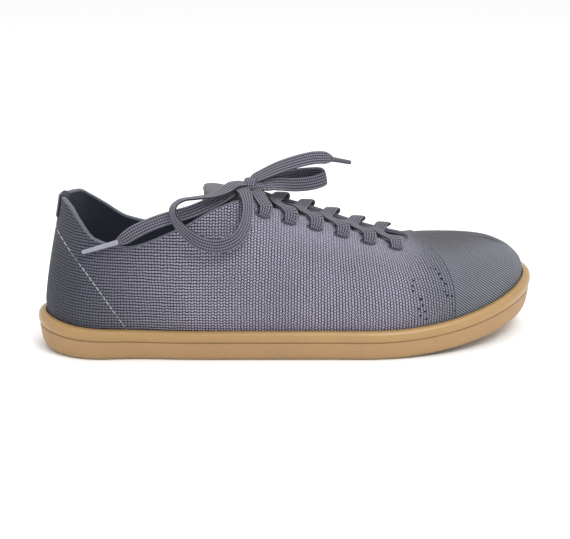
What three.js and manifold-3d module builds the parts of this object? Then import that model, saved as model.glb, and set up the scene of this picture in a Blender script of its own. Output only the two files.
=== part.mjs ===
// Barefoot shoe for the right foot: gum cup sole, knitted upper, tongue, insole and a tied flat lace.
// Millimetres. +X runs to the toe, +Z up, and the outer (lateral) side of the foot faces -Y.
// The origin is on the ground, in the middle of the sole's length and width.
import * as THREE from 'three';
import { mergeVertices } from 'three/addons/utils/BufferGeometryUtils.js';
import Module from 'manifold-3d';

const wasm = await Module();
wasm.setup();

// Sole
const LENGTH = 286;
const BALL_WIDTH = 104;
const SIDE_HEIGHT = 16.5; // ground to the top of the lip, in the waist
const HEEL_BUMPER = 3.6; // the lip's extra height at the back of the heel
const TOE_BUMPER = 3.6;
const LIP_THICKNESS = 4.6;
const FOOT_BED_HEIGHT = 7; // ground to the floor of the cup
const TOE_SPRING = 13.5;
const HEEL_LIFT = 1.5;
const ARCH_DEPTH = 1.2;

// Upper
const WALL = 1.8; // of the vamp
const QUARTER_STEP = 0.8; // how far the quarters stand above the vamp at the front seam
const SEAM_WIDTH = 1.2;
const HEEL_HEIGHT = 86.5;
const ANKLE_HEIGHT = 62; // the low point of the collar
const INSTEP_HEIGHT = 85; // the top of the throat
const VAMP_HEIGHT = 54; // over the toes

// Fittings
const GAP = 0.3; // between neighbouring pieces
const INSOLE_THICKNESS = 3.2;
const TONGUE_THICKNESS = 3;
const TONGUE_FREE_LENGTH = 19; // past the top of the throat
const TAB_THICKNESS = 0.9;
const TAB_OUTER_LENGTH = 11;
const TAB_INNER_LENGTH = 14;
const EYELET_PAIRS = 6;
const EYELET_PITCH = 14.8; // along X
const FIRST_EYELET_X = -18; // the top pair
const EYELET_MARGIN = 6.2; // from the throat's edge
const SLIT_LENGTH = 7;
const SLIT_WIDTH = 2.2;
const LACE_WIDTH = 8;
const LACE_THICKNESS = 1.5;
const AGLET_WIDTH = 3;

// Mesh density
const HALF_COLUMNS = 42; // along one side, from heel to toe
const THROAT_END = 0.7; // the station where the throat closes
const SEAM_STATION = 0.712;

// The sole's plan. along is a share of LENGTH, the rest are shares of BALL_WIDTH, and middle is +Y.
const PLAN = [
  { along: 0.0, middle: -0.024, lateral: 0.327, medial: 0.327 },
  { along: 0.16, middle: -0.024, lateral: 0.33, medial: 0.325 },
  { along: 0.28, middle: -0.015, lateral: 0.38, medial: 0.304 },
  { along: 0.42, middle: 0.02, lateral: 0.456, medial: 0.283 },
  { along: 0.55, middle: 0.07, lateral: 0.543, medial: 0.305 },
  { along: 0.66, middle: 0.115, lateral: 0.617, medial: 0.353 },
  { along: 0.76, middle: 0.135, lateral: 0.635, medial: 0.365 },
  { along: 1.0, middle: 0.135, lateral: 0.635, medial: 0.365 },
];
const HEEL_ROUND = { length: 0.137, power: 2 }; // length as a share of LENGTH
const TOE_ROUND = { lateral: { length: 0.333, power: 2 }, medial: { length: 0.18, power: 2.3 } };

// The side of the sole from the tread up to the lip. inset is a share of LIP_THICKNESS, and height a
// share of the side's height there.
const SIDE_RINGS = [
  { inset: 1.15, height: 0.0 },
  { inset: 0.66, height: 0.045 },
  { inset: 0.42, height: 0.15 },
  { inset: 0.24, height: 0.38 },
  { inset: 0.14, height: 0.6 },
  { inset: 0.34, height: 0.635 },
  { inset: 0.1, height: 0.67 },
  { inset: 0.0, height: 0.8 },
  { inset: 0.1, height: 0.92 },
  { inset: 0.42, height: 0.99 },
  { inset: 0.78, height: 1.0 },
];

// The upper's sections, one row for each station along the sole's edge (0 at the heel, 1 at the toe).
// along, across and height place the collar's, throat's or vamp's top line. flare is the wall's tilt
// outward at the lip, lean its slope below level at the top, and low and high are how far the section
// holds them, as shares of its chord.
const LATERAL = [
  { station: 0.0, along: 0.056, across: -0.024, height: 0.985 * HEEL_HEIGHT, flare: -4, lean: 80, low: 0.35, high: 0.35 },
  { station: 0.05, along: 0.061, across: -0.091, height: 0.987 * HEEL_HEIGHT, flare: -3, lean: 80, low: 0.35, high: 0.35 },
  { station: 0.1, along: 0.074, across: -0.154, height: 0.955 * HEEL_HEIGHT, flare: -1, lean: 80, low: 0.35, high: 0.35 },
  { station: 0.15, along: 0.091, across: -0.207, height: 0.873 * HEEL_HEIGHT, flare: 3, lean: 80, low: 0.35, high: 0.35 },
  { station: 0.2, along: 0.119, across: -0.245, height: 0.763 * HEEL_HEIGHT, flare: 4, lean: 80, low: 0.35, high: 0.35 },
  { station: 0.28, along: 0.181, across: -0.284, height: 1.0 * ANKLE_HEIGHT, flare: 5, lean: 80, low: 0.35, high: 0.35 },
  { station: 0.35, along: 0.279, across: -0.3, height: 0.847 * INSTEP_HEIGHT, flare: 5, lean: 72, low: 0.38, high: 0.35 },
  { station: 0.4, along: 0.355, across: -0.25, height: 0.965 * INSTEP_HEIGHT, flare: 4, lean: 60, low: 0.4, high: 0.35 },
  { station: 0.43, along: 0.402, across: -0.197, height: 0.995 * INSTEP_HEIGHT, flare: 3.5, lean: 51, low: 0.41, high: 0.36 },
  { station: 0.46, along: 0.452, across: -0.155, height: 0.928 * INSTEP_HEIGHT, flare: 3, lean: 43, low: 0.42, high: 0.37 },
  { station: 0.53, along: 0.558, across: -0.122, height: 0.812 * INSTEP_HEIGHT, flare: 2, lean: 33, low: 0.42, high: 0.4 },
  { station: 0.6, along: 0.652, across: -0.118, height: 1.11 * VAMP_HEIGHT, flare: 2, lean: 25, low: 0.42, high: 0.43 },
  { station: 0.66, along: 0.712, across: -0.092, height: 1.02 * VAMP_HEIGHT, flare: 2, lean: 18, low: 0.43, high: 0.45 },
  { station: 0.685, along: 0.736, across: -0.03, height: 1.02 * VAMP_HEIGHT, flare: 2, lean: 9, low: 0.44, high: 0.48 },
  { station: 0.7, along: 0.742, across: 0.045, height: 1.025 * VAMP_HEIGHT, flare: 2, lean: 3, low: 0.44, high: 0.5 },
  { station: 0.78, along: 0.818, across: 0.08, height: 1.0 * VAMP_HEIGHT, flare: 2, lean: 1, low: 0.46, high: 0.5 },
  { station: 0.86, along: 0.872, across: 0.106, height: 0.975 * VAMP_HEIGHT, flare: 1, lean: 2, low: 0.44, high: 0.46 },
  { station: 0.93, along: 0.897, across: 0.118, height: 0.94 * VAMP_HEIGHT, flare: 0, lean: 6, low: 0.4, high: 0.43 },
  { station: 1.0, along: 0.905, across: 0.125, height: 0.92 * VAMP_HEIGHT, flare: 0, lean: 9, low: 0.36, high: 0.42 },
];
const MEDIAL = [
  { station: 0.0, along: 0.056, across: -0.024, height: 0.985 * HEEL_HEIGHT, flare: -4, lean: 80, low: 0.35, high: 0.35 },
  { station: 0.05, along: 0.064, across: 0.043, height: 0.99 * HEEL_HEIGHT, flare: -3, lean: 80, low: 0.35, high: 0.35 },
  { station: 0.1, along: 0.084, across: 0.115, height: 0.985 * HEEL_HEIGHT, flare: -1, lean: 80, low: 0.35, high: 0.35 },
  { station: 0.15, along: 0.105, across: 0.173, height: 0.937 * HEEL_HEIGHT, flare: 2, lean: 80, low: 0.35, high: 0.35 },
  { station: 0.2, along: 0.133, across: 0.212, height: 0.867 * HEEL_HEIGHT, flare: 3, lean: 80, low: 0.35, high: 0.35 },
  { station: 0.26, along: 0.18, across: 0.243, height: 0.76 * HEEL_HEIGHT, flare: 3, lean: 80, low: 0.35, high: 0.35 },
  { station: 0.33, along: 0.24, across: 0.255, height: 1.0 * ANKLE_HEIGHT, flare: 3, lean: 78, low: 0.36, high: 0.35 },
  { station: 0.38, along: 0.314, across: 0.255, height: 0.83 * INSTEP_HEIGHT, flare: 3, lean: 70, low: 0.38, high: 0.35 },
  { station: 0.43, along: 0.402, across: 0.212, height: 1.005 * INSTEP_HEIGHT, flare: 3, lean: 50, low: 0.42, high: 0.36 },
  { station: 0.46, along: 0.452, across: 0.185, height: 0.936 * INSTEP_HEIGHT, flare: 4, lean: 42, low: 0.42, high: 0.38 },
  { station: 0.53, along: 0.558, across: 0.16, height: 0.824 * INSTEP_HEIGHT, flare: 4, lean: 36, low: 0.42, high: 0.4 },
  { station: 0.6, along: 0.652, across: 0.155, height: 1.12 * VAMP_HEIGHT, flare: 4, lean: 27, low: 0.42, high: 0.44 },
  { station: 0.66, along: 0.712, across: 0.14, height: 1.04 * VAMP_HEIGHT, flare: 3, lean: 18, low: 0.43, high: 0.46 },
  { station: 0.685, along: 0.736, across: 0.1, height: 1.025 * VAMP_HEIGHT, flare: 3, lean: 9, low: 0.44, high: 0.48 },
  { station: 0.7, along: 0.742, across: 0.045, height: 1.025 * VAMP_HEIGHT, flare: 3, lean: 3, low: 0.44, high: 0.5 },
  { station: 0.78, along: 0.818, across: 0.08, height: 1.005 * VAMP_HEIGHT, flare: 3, lean: 1, low: 0.46, high: 0.5 },
  { station: 0.86, along: 0.872, across: 0.106, height: 0.975 * VAMP_HEIGHT, flare: 2, lean: 2, low: 0.44, high: 0.46 },
  { station: 0.93, along: 0.897, across: 0.118, height: 0.94 * VAMP_HEIGHT, flare: 1, lean: 6, low: 0.4, high: 0.43 },
  { station: 1.0, along: 0.905, across: 0.125, height: 0.92 * VAMP_HEIGHT, flare: 0, lean: 9, low: 0.36, high: 0.42 },
];
const RISES = [0, 0.09, 0.18, 0.29, 0.41, 0.53, 0.65, 0.77, 0.88, 1]; // rows of the upper above the lip

const lateral = 0;
const medial = 1;
const UP = new THREE.Vector3(0, 0, 1);

// A smooth curve through one column of a table, without overshoot.
function follow(rows, key, column, at) {
  const last = rows.length - 1;
  let k = 0;
  while (k < last - 1 && at > rows[k + 1][key]) k += 1;
  const slope = (i) => (rows[i + 1][column] - rows[i][column]) / (rows[i + 1][key] - rows[i][key]);
  const tangent = (i) => {
    if (i === 0) return slope(0);
    if (i === last) return slope(last - 1);
    const [before, after] = [slope(i - 1), slope(i)];
    return before * after <= 0 ? 0 : (2 * before * after) / (before + after);
  };
  const step = rows[k + 1][key] - rows[k][key];
  const u = THREE.MathUtils.clamp((at - rows[k][key]) / step, 0, 1);
  const [u2, u3] = [u * u, u * u * u];
  return (2 * u3 - 3 * u2 + 1) * rows[k][column] + (u3 - 2 * u2 + u) * step * tangent(k)
    + (3 * u2 - 2 * u3) * rows[k + 1][column] + (u3 - u2) * step * tangent(k + 1);
}

// Sole plan

// How far a station is along the sole, as a share of its length.
const alongOf = (station) => (1 - Math.cos(Math.PI * station)) / 2;

// How much of the width is left this far from a round end.
function endShare(distance, round) {
  const inside = Math.max(0, 1 - distance / round.length);
  return Math.max(0, 1 - inside ** round.power) ** (1 / round.power);
}

function rawEdge(side, station) {
  const along = alongOf(station);
  const width = follow(PLAN, 'along', side === lateral ? 'lateral' : 'medial', along);
  const toe = side === lateral ? TOE_ROUND.lateral : TOE_ROUND.medial;
  const reach = width * endShare(along, HEEL_ROUND) * endShare(1 - along, toe);
  const middle = follow(PLAN, 'along', 'middle', along);
  return { along, across: side === lateral ? middle - reach : middle + reach };
}

// The middle of the plan's width, which the origin sits on.
const reaches = Array.from({ length: 401 }, (_, i) => i / 400);
const ACROSS_MIDDLE = (Math.min(...reaches.map((s) => rawEdge(lateral, s).across))
  + Math.max(...reaches.map((s) => rawEdge(medial, s).across))) / 2;

function place(along, across, height) {
  return new THREE.Vector3((along - 0.5) * LENGTH, (across - ACROSS_MIDDLE) * BALL_WIDTH, height);
}

// A turn runs round the sole: 0 at the heel, 1 at the toe by the lateral side, 2 at the heel again.
function sideOfTurn(turn) {
  const t = ((turn % 2) + 2) % 2;
  return t <= 1 ? { side: lateral, station: t } : { side: medial, station: 2 - t };
}

function edgeAt(turn) {
  const { side, station } = sideOfTurn(turn);
  const { along, across } = rawEdge(side, station);
  return place(along, across, 0);
}

function outwardAt(turn) {
  const step = 0.004;
  const tangent = edgeAt(turn + step).sub(edgeAt(turn - step)).normalize();
  return new THREE.Vector3(tangent.y, -tangent.x, 0);
}

const insetEdge = (turn, inset) => edgeAt(turn).addScaledVector(outwardAt(turn), -inset);

// Heights along the sole

const SPRING_START = 0.64;
const HEEL_LIFT_END = 0.1;
const HEEL_BUMPER_END = 0.27;
const TOE_BUMPER_START = 0.68;

const squareRise = (share) => Math.max(0, share) ** 2;

function groundRise(along) {
  return HEEL_LIFT * squareRise(1 - along / HEEL_LIFT_END)
    + TOE_SPRING * squareRise((along - SPRING_START) / (1 - SPRING_START));
}

function sideHeight(along) {
  return SIDE_HEIGHT + HEEL_BUMPER * squareRise(1 - along / HEEL_BUMPER_END)
    + TOE_BUMPER * squareRise((along - TOE_BUMPER_START) / (1 - TOE_BUMPER_START));
}

const alongOfTurn = (turn) => alongOf(sideOfTurn(turn).station);

// Stations and columns

const stations = Array.from({ length: HALF_COLUMNS + 1 }, (_, i) => i / HALF_COLUMNS)
  .filter((s) => Math.abs(s - THROAT_END) > 0.006 && Math.abs(s - SEAM_STATION) > 0.012);
const seamStep = SEAM_WIDTH / (LENGTH * (Math.PI / 2) * Math.sin(Math.PI * SEAM_STATION));
stations.push(THROAT_END, SEAM_STATION, SEAM_STATION + seamStep);
stations.sort((a, b) => a - b);
const turns = [...stations, ...stations.slice(1, -1).reverse().map((s) => 2 - s)];

// Surface of the upper

const cupInset = LIP_THICKNESS + GAP;
const CUP_DRAFT = 0.3; // the cup is this much narrower at its floor than at its lip

function footPoint(turn) {
  const p = insetEdge(turn, cupInset + CUP_DRAFT);
  return p.setZ(groundRise(alongOfTurn(turn)) + FOOT_BED_HEIGHT + GAP);
}

function lipPoint(turn) {
  const along = alongOfTurn(turn);
  return insetEdge(turn, cupInset).setZ(groundRise(along) + sideHeight(along));
}

function sectionOf(turn) {
  const { side, station } = sideOfTurn(turn);
  const rows = side === lateral ? LATERAL : MEDIAL;
  const read = (column) => follow(rows, 'station', column, station);
  // In front of the throat both sides end on the same line, down the middle of the vamp.
  const topRows = station >= THROAT_END - 1e-9 ? LATERAL : rows;
  const readTop = (column) => follow(topRows, 'station', column, station);
  return {
    top: place(readTop('along'), readTop('across'), readTop('height')),
    flare: THREE.MathUtils.degToRad(read('flare')),
    lean: THREE.MathUtils.degToRad(read('lean')),
    low: read('low'),
    high: read('high'),
  };
}

// A point of the upper's smooth outer face. rise is 0 at the lip and 1 at the top line.
function facePoint(turn, rise) {
  const { top, flare, lean, low, high } = sectionOf(turn);
  const start = lipPoint(turn);
  const out = outwardAt(turn);
  const chord = start.distanceTo(top);
  const first = start.clone().addScaledVector(UP, Math.cos(flare) * low * chord)
    .addScaledVector(out, Math.sin(flare) * low * chord);
  const second = top.clone().addScaledVector(out, Math.cos(lean) * high * chord)
    .addScaledVector(UP, -Math.sin(lean) * high * chord);
  return new THREE.CubicBezierCurve3(start, first, second, top).getPoint(rise);
}

function rawNormal(turn, rise) {
  const [across, up] = [0.003, 0.01];
  const r = THREE.MathUtils.clamp(rise, up, 1 - up);
  const along = facePoint(turn + across, r).sub(facePoint(turn - across, r));
  const climb = facePoint(turn, r + up).sub(facePoint(turn, r - up));
  return along.cross(climb).normalize();
}

const isClosedOver = (turn) => sideOfTurn(turn).station >= THROAT_END - 1e-9;

function faceNormal(turn, rise) {
  if (rise < 1 || !isClosedOver(turn)) return rawNormal(turn, rise);
  return rawNormal(turn, rise).add(rawNormal(2 - turn, rise)).normalize();
}

// The quarters stand above the vamp behind the front seam, and fade out at the lip.
function stepHeight(turn, rise) {
  const behind = sideOfTurn(turn).station <= SEAM_STATION + 1e-9 ? 1 : 0;
  return QUARTER_STEP * behind * Math.min(1, rise / RISES[1]);
}

function outerPoint(turn, rise, away = 0) {
  return facePoint(turn, rise).addScaledVector(faceNormal(turn, rise), stepHeight(turn, rise) + away);
}

const innerPoint = (turn, rise, away = 0) => facePoint(turn, rise)
  .addScaledVector(faceNormal(turn, rise), -WALL - away);

// Meshes

class Skin {
  constructor() {
    this.points = [];
    this.faces = [];
  }

  row(points) {
    return points.map((p) => this.points.push(p) - 1);
  }

  quad(a, b, c, d) {
    this.faces.push([a, b, c], [a, c, d]);
  }

  // Joins two rows of points with quads. Seen from outside, the second row lies above the first one
  // and both run to the right.
  join(lower, upper, closed) {
    const n = lower.length;
    for (let i = 0; i < (closed ? n : n - 1); i += 1) {
      const j = (i + 1) % n;
      this.quad(lower[i], lower[j], upper[j], upper[i]);
    }
  }

  geometry() {
    const g = new THREE.BufferGeometry();
    const flat = this.points.flatMap((p) => [p.x, p.y, p.z]);
    g.setAttribute('position', new THREE.BufferAttribute(new Float32Array(flat), 3));
    g.setIndex(this.faces.flat());
    const merged = mergeVertices(g, 1e-3);
    const index = merged.getIndex().array;
    const kept = [];
    for (let i = 0; i < index.length; i += 3) {
      const [a, b, c] = [index[i], index[i + 1], index[i + 2]];
      if (a !== b && b !== c && c !== a) kept.push(a, b, c);
    }
    merged.setIndex(kept);
    return merged;
  }
}

function toSolid(geometry) {
  const bare = geometry.clone();
  bare.deleteAttribute('normal');
  bare.deleteAttribute('uv');
  const merged = mergeVertices(bare, 1e-3);
  return new wasm.Manifold(new wasm.Mesh({
    numProp: 3,
    vertProperties: new Float32Array(merged.getAttribute('position').array),
    triVerts: new Uint32Array(merged.getIndex().array),
  }));
}

function fromSolid(solid) {
  const mesh = solid.getMesh();
  const g = new THREE.BufferGeometry();
  g.setAttribute('position', new THREE.BufferAttribute(new Float32Array(mesh.vertProperties), 3));
  g.setIndex(Array.from(mesh.triVerts));
  return g;
}

// Closes a ring of columns with strips from side to side. heightAt gives a point's height above the
// straight line across, from its share of the length and of the width.
function fillRing(skin, ring, facesUp, lift = () => 0, parts = 1) {
  const half = stations.length - 1;
  const strip = (i) => {
    const [a, b] = [skin.points[ring[i]], skin.points[ring[(ring.length - i) % ring.length]]];
    const inner = Array.from({ length: parts - 1 }, (_, k) => {
      const share = (k + 1) / parts;
      const p = a.clone().lerp(b, share);
      return p.setZ(p.z + lift(alongOf(stations[i]), share));
    });
    return [ring[i], ...skin.row(inner), ring[(ring.length - i) % ring.length]];
  };
  const strips = Array.from({ length: half - 1 }, (_, i) => strip(i + 1));
  const face = (a, b, c) => skin.faces.push(facesUp ? [a, b, c] : [a, c, b]);
  for (let i = 0; i + 1 < strips.length; i += 1) {
    for (let k = 0; k < parts; k += 1) {
      const [a, b, c, d] = [strips[i][k], strips[i + 1][k], strips[i + 1][k + 1], strips[i][k + 1]];
      face(a, b, c);
      face(a, c, d);
    }
  }
  for (let k = 0; k < parts; k += 1) {
    face(ring[0], strips[0][k], strips[0][k + 1]);
    face(ring[half], strips.at(-1)[k + 1], strips.at(-1)[k]);
  }
}

// Sub-parts

// The tread is hollowed a little under the arch, on the medial side.
const ARCH = { from: 0.3, to: 0.54 };

function archLift(along, share) {
  const span = THREE.MathUtils.clamp((along - ARCH.from) / (ARCH.to - ARCH.from), 0, 1);
  return ARCH_DEPTH * Math.sin(Math.PI * span) ** 2 * Math.sin(Math.PI * share * share) ** 2;
}

function outsole() {
  const skin = new Skin();
  const ring = (make) => skin.row(turns.map(make));
  const side = SIDE_RINGS.map(({ inset, height }) => ring((turn) => {
    const along = alongOfTurn(turn);
    return insetEdge(turn, inset * LIP_THICKNESS).setZ(groundRise(along) + height * sideHeight(along));
  }));
  const lipInside = ring((turn) => {
    const p = lipPoint(turn);
    return p.addScaledVector(outwardAt(turn), GAP);
  });
  const floor = ring((turn) => {
    const p = footPoint(turn);
    return p.addScaledVector(outwardAt(turn), GAP).setZ(p.z - GAP);
  });
  const rings = [...side, lipInside, floor];
  for (let i = 0; i + 1 < rings.length; i += 1) skin.join(rings[i], rings[i + 1], true);
  fillRing(skin, rings[0], false, archLift, 4);
  fillRing(skin, floor, true);
  return skin.geometry();
}

function insole() {
  const skin = new Skin();
  const inset = cupInset + CUP_DRAFT + WALL + GAP;
  const ring = (height) => skin.row(turns.map((turn) => insetEdge(turn, inset)
    .setZ(groundRise(alongOfTurn(turn)) + FOOT_BED_HEIGHT + GAP + height)));
  const [bottom, top] = [ring(0), ring(INSOLE_THICKNESS)];
  skin.join(bottom, top, true);
  fillRing(skin, bottom, false);
  fillRing(skin, top, true);
  return skin.geometry();
}

// The shell, before the lace slits are cut.
function upperShell() {
  const skin = new Skin();
  const outside = [skin.row(turns.map(footPoint))];
  const inside = [skin.row(turns.map((turn) => footPoint(turn).addScaledVector(outwardAt(turn), -WALL)))];
  for (const rise of RISES) {
    outside.push(skin.row(turns.map((turn) => outerPoint(turn, rise))));
    inside.push(skin.row(turns.map((turn) => (rise > 0
      ? innerPoint(turn, rise)
      : lipPoint(turn).addScaledVector(outwardAt(turn), -WALL)))));
  }
  for (let i = 0; i + 1 < outside.length; i += 1) {
    skin.join(outside[i], outside[i + 1], true);
    skin.join(inside[i + 1], inside[i], true);
  }
  skin.join(inside[0], outside[0], true);
  const [outerTop, innerTop] = [outside.at(-1), inside.at(-1)];
  turns.forEach((turn, i) => {
    const j = (i + 1) % turns.length;
    if (isClosedOver(turn) && isClosedOver(turns[j])) return;
    skin.quad(outerTop[i], outerTop[j], innerTop[j], innerTop[i]);
  });
  return skin.geometry();
}

// Where the lace goes through

// The station whose top line lies at this x.
function stationAtTop(side, x) {
  let [low, high] = [0.35, THROAT_END];
  for (let i = 0; i < 40; i += 1) {
    const middle = (low + high) / 2;
    const top = sectionOf(side === lateral ? middle : 2 - middle).top;
    if (top.x < x) low = middle;
    else high = middle;
  }
  return (low + high) / 2;
}

// The rise of the point that is this far below the top line, along the face.
function riseBelowEdge(turn, distance) {
  const top = facePoint(turn, 1);
  let [low, high] = [0.5, 1];
  for (let i = 0; i < 30; i += 1) {
    const middle = (low + high) / 2;
    if (facePoint(turn, middle).distanceTo(top) > distance) low = middle;
    else high = middle;
  }
  return (low + high) / 2;
}

function eyelet(side, number) {
  const station = stationAtTop(side, FIRST_EYELET_X + number * EYELET_PITCH);
  const turn = side === lateral ? station : 2 - station;
  const rise = riseBelowEdge(turn, EYELET_MARGIN);
  const normal = rawNormal(turn, rise);
  const along = facePoint(turn + 0.01, rise).sub(facePoint(turn - 0.01, rise));
  along.addScaledVector(normal, -along.dot(normal)).normalize();
  return { turn, station, rise, normal, along, point: facePoint(turn, rise) };
}

function slit({ point, normal, along }) {
  const box = new THREE.BoxGeometry(SLIT_LENGTH, SLIT_WIDTH, 4 * (WALL + QUARTER_STEP));
  const frame = new THREE.Matrix4().makeBasis(along, normal.clone().cross(along), normal);
  return box.applyMatrix4(frame.setPosition(point));
}

const eyeletNumbers = Array.from({ length: EYELET_PAIRS }, (_, i) => i);

function upper() {
  let solid = toSolid(upperShell());
  for (const side of [lateral, medial]) {
    for (const number of eyeletNumbers) {
      solid = solid.subtract(toSolid(slit(eyelet(side, number))));
    }
  }
  return fromSolid(solid);
}

// Tongue

const CROWN_RISE = 0.07; // how far the tongue arches between the throat's edges, as a share of the gap
const CROWN_FADE = 0.06; // the arch is gone where the throat closes, after fading over these stations
const TONGUE_UNDER = RISES.slice(-4, -1); // the rises that its wings follow under the throat's edges
const TONGUE_EDGE = 0.96;
const TONGUE_SINK = 0.4; // how much deeper than its wings it starts its way across
const TONGUE_SHARES = [0, 0.25, 0.5, 0.75, 1];

// The tongue's upper face between the throat's edges, from the lateral edge at share 0.
function bridgePoint(station, share, away = 0) {
  const a = innerPoint(station, TONGUE_EDGE, GAP + TONGUE_SINK);
  const b = innerPoint(2 - station, TONGUE_EDGE, GAP + TONGUE_SINK);
  const open = THREE.MathUtils.clamp((THROAT_END - station) / CROWN_FADE, 0, 1);
  const rise = open * CROWN_RISE * a.distanceTo(b) * 4 * share * (1 - share);
  const p = a.clone().lerp(b, share);
  return p.setZ(p.z + rise + away);
}

function tongueRow(station, depth) {
  return [
    ...TONGUE_UNDER.map((rise) => innerPoint(station, rise, GAP + depth)),
    ...TONGUE_SHARES.map((share) => bridgePoint(station, share, -depth)),
    ...TONGUE_UNDER.toReversed().map((rise) => innerPoint(2 - station, rise, GAP + depth)),
  ];
}

// The free end rises from the throat's top row, narrows and rounds off.
const TONGUE_END = [
  { share: 0.08, width: 0.92, climb: 0.4 },
  { share: 0.25, width: 0.82, climb: 0.4 },
  { share: 0.5, width: 0.71, climb: 0.37 },
  { share: 0.75, width: 0.62, climb: 0.32 },
  { share: 0.92, width: 0.53, climb: 0.27 },
  { share: 1.0, width: 0.42, climb: 0.24 },
];

function freeRow(row, { share, width, climb }) {
  const middle = row[(row.length - 1) / 2];
  return row.map((p) => {
    const q = new THREE.Vector3(p.x, middle.y + (p.y - middle.y) * width, p.z + (middle.z - p.z) * (1 - width));
    const length = share * TONGUE_FREE_LENGTH;
    return q.add(new THREE.Vector3(-length * Math.sqrt(1 - climb * climb), 0, length * climb));
  });
}

const TONGUE_FRONT = 0.74; // the station where it ends, under the vamp
const TONGUE_BACK = 0.428;

function tongue() {
  const skin = new Skin();
  const layer = (depth) => {
    const rows = stations.filter((s) => s > TONGUE_BACK && s < TONGUE_FRONT).toReversed()
      .map((station) => tongueRow(station, depth));
    const last = rows.at(-1);
    rows.push(...TONGUE_END.map((end) => freeRow(last, end)));
    return rows.map((row) => skin.row(row));
  };
  const [top, bottom] = [layer(0), layer(TONGUE_THICKNESS)];
  for (let i = 0; i + 1 < top.length; i += 1) {
    skin.join(top[i], top[i + 1], false);
    skin.join(bottom[i + 1], bottom[i], false);
    const n = top[i].length - 1;
    skin.quad(top[i + 1][0], bottom[i + 1][0], bottom[i][0], top[i][0]);
    skin.quad(top[i][n], bottom[i][n], bottom[i + 1][n], top[i + 1][n]);
  }
  skin.join(top.at(-1), bottom.at(-1), false);
  skin.join(bottom[0], top[0], false);
  return skin.geometry();
}

// Heel tab

const TAB_COLUMNS = [-2, -1, 0, 1, 2]; // of the upper's own columns, either side of the heel's middle

// A strip from the outer face over the rim to the inner face, with its own thickness.
function heelTab() {
  const skin = new Skin();
  const outerEnd = riseBelowEdge(0, TAB_OUTER_LENGTH);
  const innerEnd = riseBelowEdge(0, TAB_INNER_LENGTH);
  const layer = (away) => {
    const row = (make) => skin.row(TAB_COLUMNS.map((i) => make(i / HALF_COLUMNS)));
    const halfway = (end) => (end + 1) / 2;
    return [
      row((turn) => outerPoint(turn, outerEnd, away)),
      row((turn) => outerPoint(turn, halfway(outerEnd), away)),
      row((turn) => outerPoint(turn, 1, away)),
      row((turn) => outerPoint(turn, 1).addScaledVector(UP, away)),
      row((turn) => innerPoint(turn, 1).addScaledVector(UP, away)),
      row((turn) => innerPoint(turn, 1, away)),
      row((turn) => innerPoint(turn, halfway(innerEnd), away)),
      row((turn) => innerPoint(turn, innerEnd, away)),
    ];
  };
  const [near, far] = [layer(GAP), layer(GAP + TAB_THICKNESS)];
  const last = TAB_COLUMNS.length - 1;
  for (let i = 0; i + 1 < near.length; i += 1) {
    skin.join(far[i], far[i + 1], false);
    skin.join(near[i + 1], near[i], false);
    skin.quad(far[i][0], far[i + 1][0], near[i + 1][0], near[i][0]);
    skin.quad(far[i + 1][last], far[i][last], near[i][last], near[i + 1][last]);
  }
  skin.join(near[0], far[0], false);
  skin.join(far.at(-1), near.at(-1), false);
  return skin.geometry();
}

// Ribbons

// A lace's flat section: side across its width and lift along its face, as shares of each.
const RIBBON_SECTION = [
  { side: 0.5, lift: 0.25 },
  { side: 0.5, lift: -0.25 },
  { side: 0.42, lift: -0.5 },
  { side: -0.42, lift: -0.5 },
  { side: -0.5, lift: -0.25 },
  { side: -0.5, lift: 0.25 },
  { side: -0.42, lift: 0.5 },
  { side: 0.42, lift: 0.5 },
];

// Carries the flat section along a smooth line through the points. Each point has the way that its
// face looks, and fill is the share of the full width that it has.
function ribbon(points, steps, width = LACE_WIDTH) {
  const line = new THREE.CatmullRomCurve3(points.map((p) => p.at), false, 'centripetal');
  const between = (u) => {
    const reached = u * (points.length - 1);
    const k = Math.min(points.length - 2, Math.floor(reached));
    const [a, b, share] = [points[k], points[k + 1], reached - k];
    return { face: a.face.clone().lerp(b.face, share), fill: THREE.MathUtils.lerp(a.fill ?? 1, b.fill ?? 1, share) };
  };
  const skin = new Skin();
  const rings = Array.from({ length: steps + 1 }, (_, i) => {
    const u = i / steps;
    const [at, along] = [line.getPoint(u), line.getTangent(u)];
    const { face, fill } = between(u);
    const across = along.clone().cross(face).normalize();
    const out = across.clone().cross(along).normalize();
    return skin.row(RIBBON_SECTION.map(({ side, lift }) => at.clone()
      .addScaledVector(across, side * width * fill)
      .addScaledVector(out, lift * LACE_THICKNESS)));
  });
  for (let i = 0; i < steps; i += 1) skin.join(rings[i], rings[i + 1], true);
  const [first, end] = [rings[0], rings.at(-1)];
  for (let k = 1; k + 1 < first.length; k += 1) {
    skin.faces.push([first[0], first[k + 1], first[k]]);
    skin.faces.push([end[0], end[k], end[k + 1]]);
  }
  return skin.geometry();
}

// Lace across the tongue

const STRAND_STEPS = 8;
const TOP_STRAND_STEPS = 6;
const STRAND_GAP = 0.8;
const STRAND_CLEAR = STRAND_GAP + LACE_THICKNESS / 2; // from a face to the middle of a strand on it
const STRAND_WIDTH = LACE_WIDTH * 0.94; // pulled taut, the lace is a little narrower
const CROSSING_SHARES = [0.16, 0.32, 0.5, 0.68, 0.84]; // where a strand's line is set
const RIM = WALL + QUARTER_STEP; // the quarter's edge stands this high over the tongue
const RIM_SHARE = 0.5; // the share of the way across over which a strand comes down from that edge
const OVERLAP = { from: 0.2, length: 0.6 }; // the share of the way where one strand climbs over the other
const NORMAL_STEP = { station: 0.004, share: 0.02 }; // how far apart the points are that a normal is read from

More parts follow.
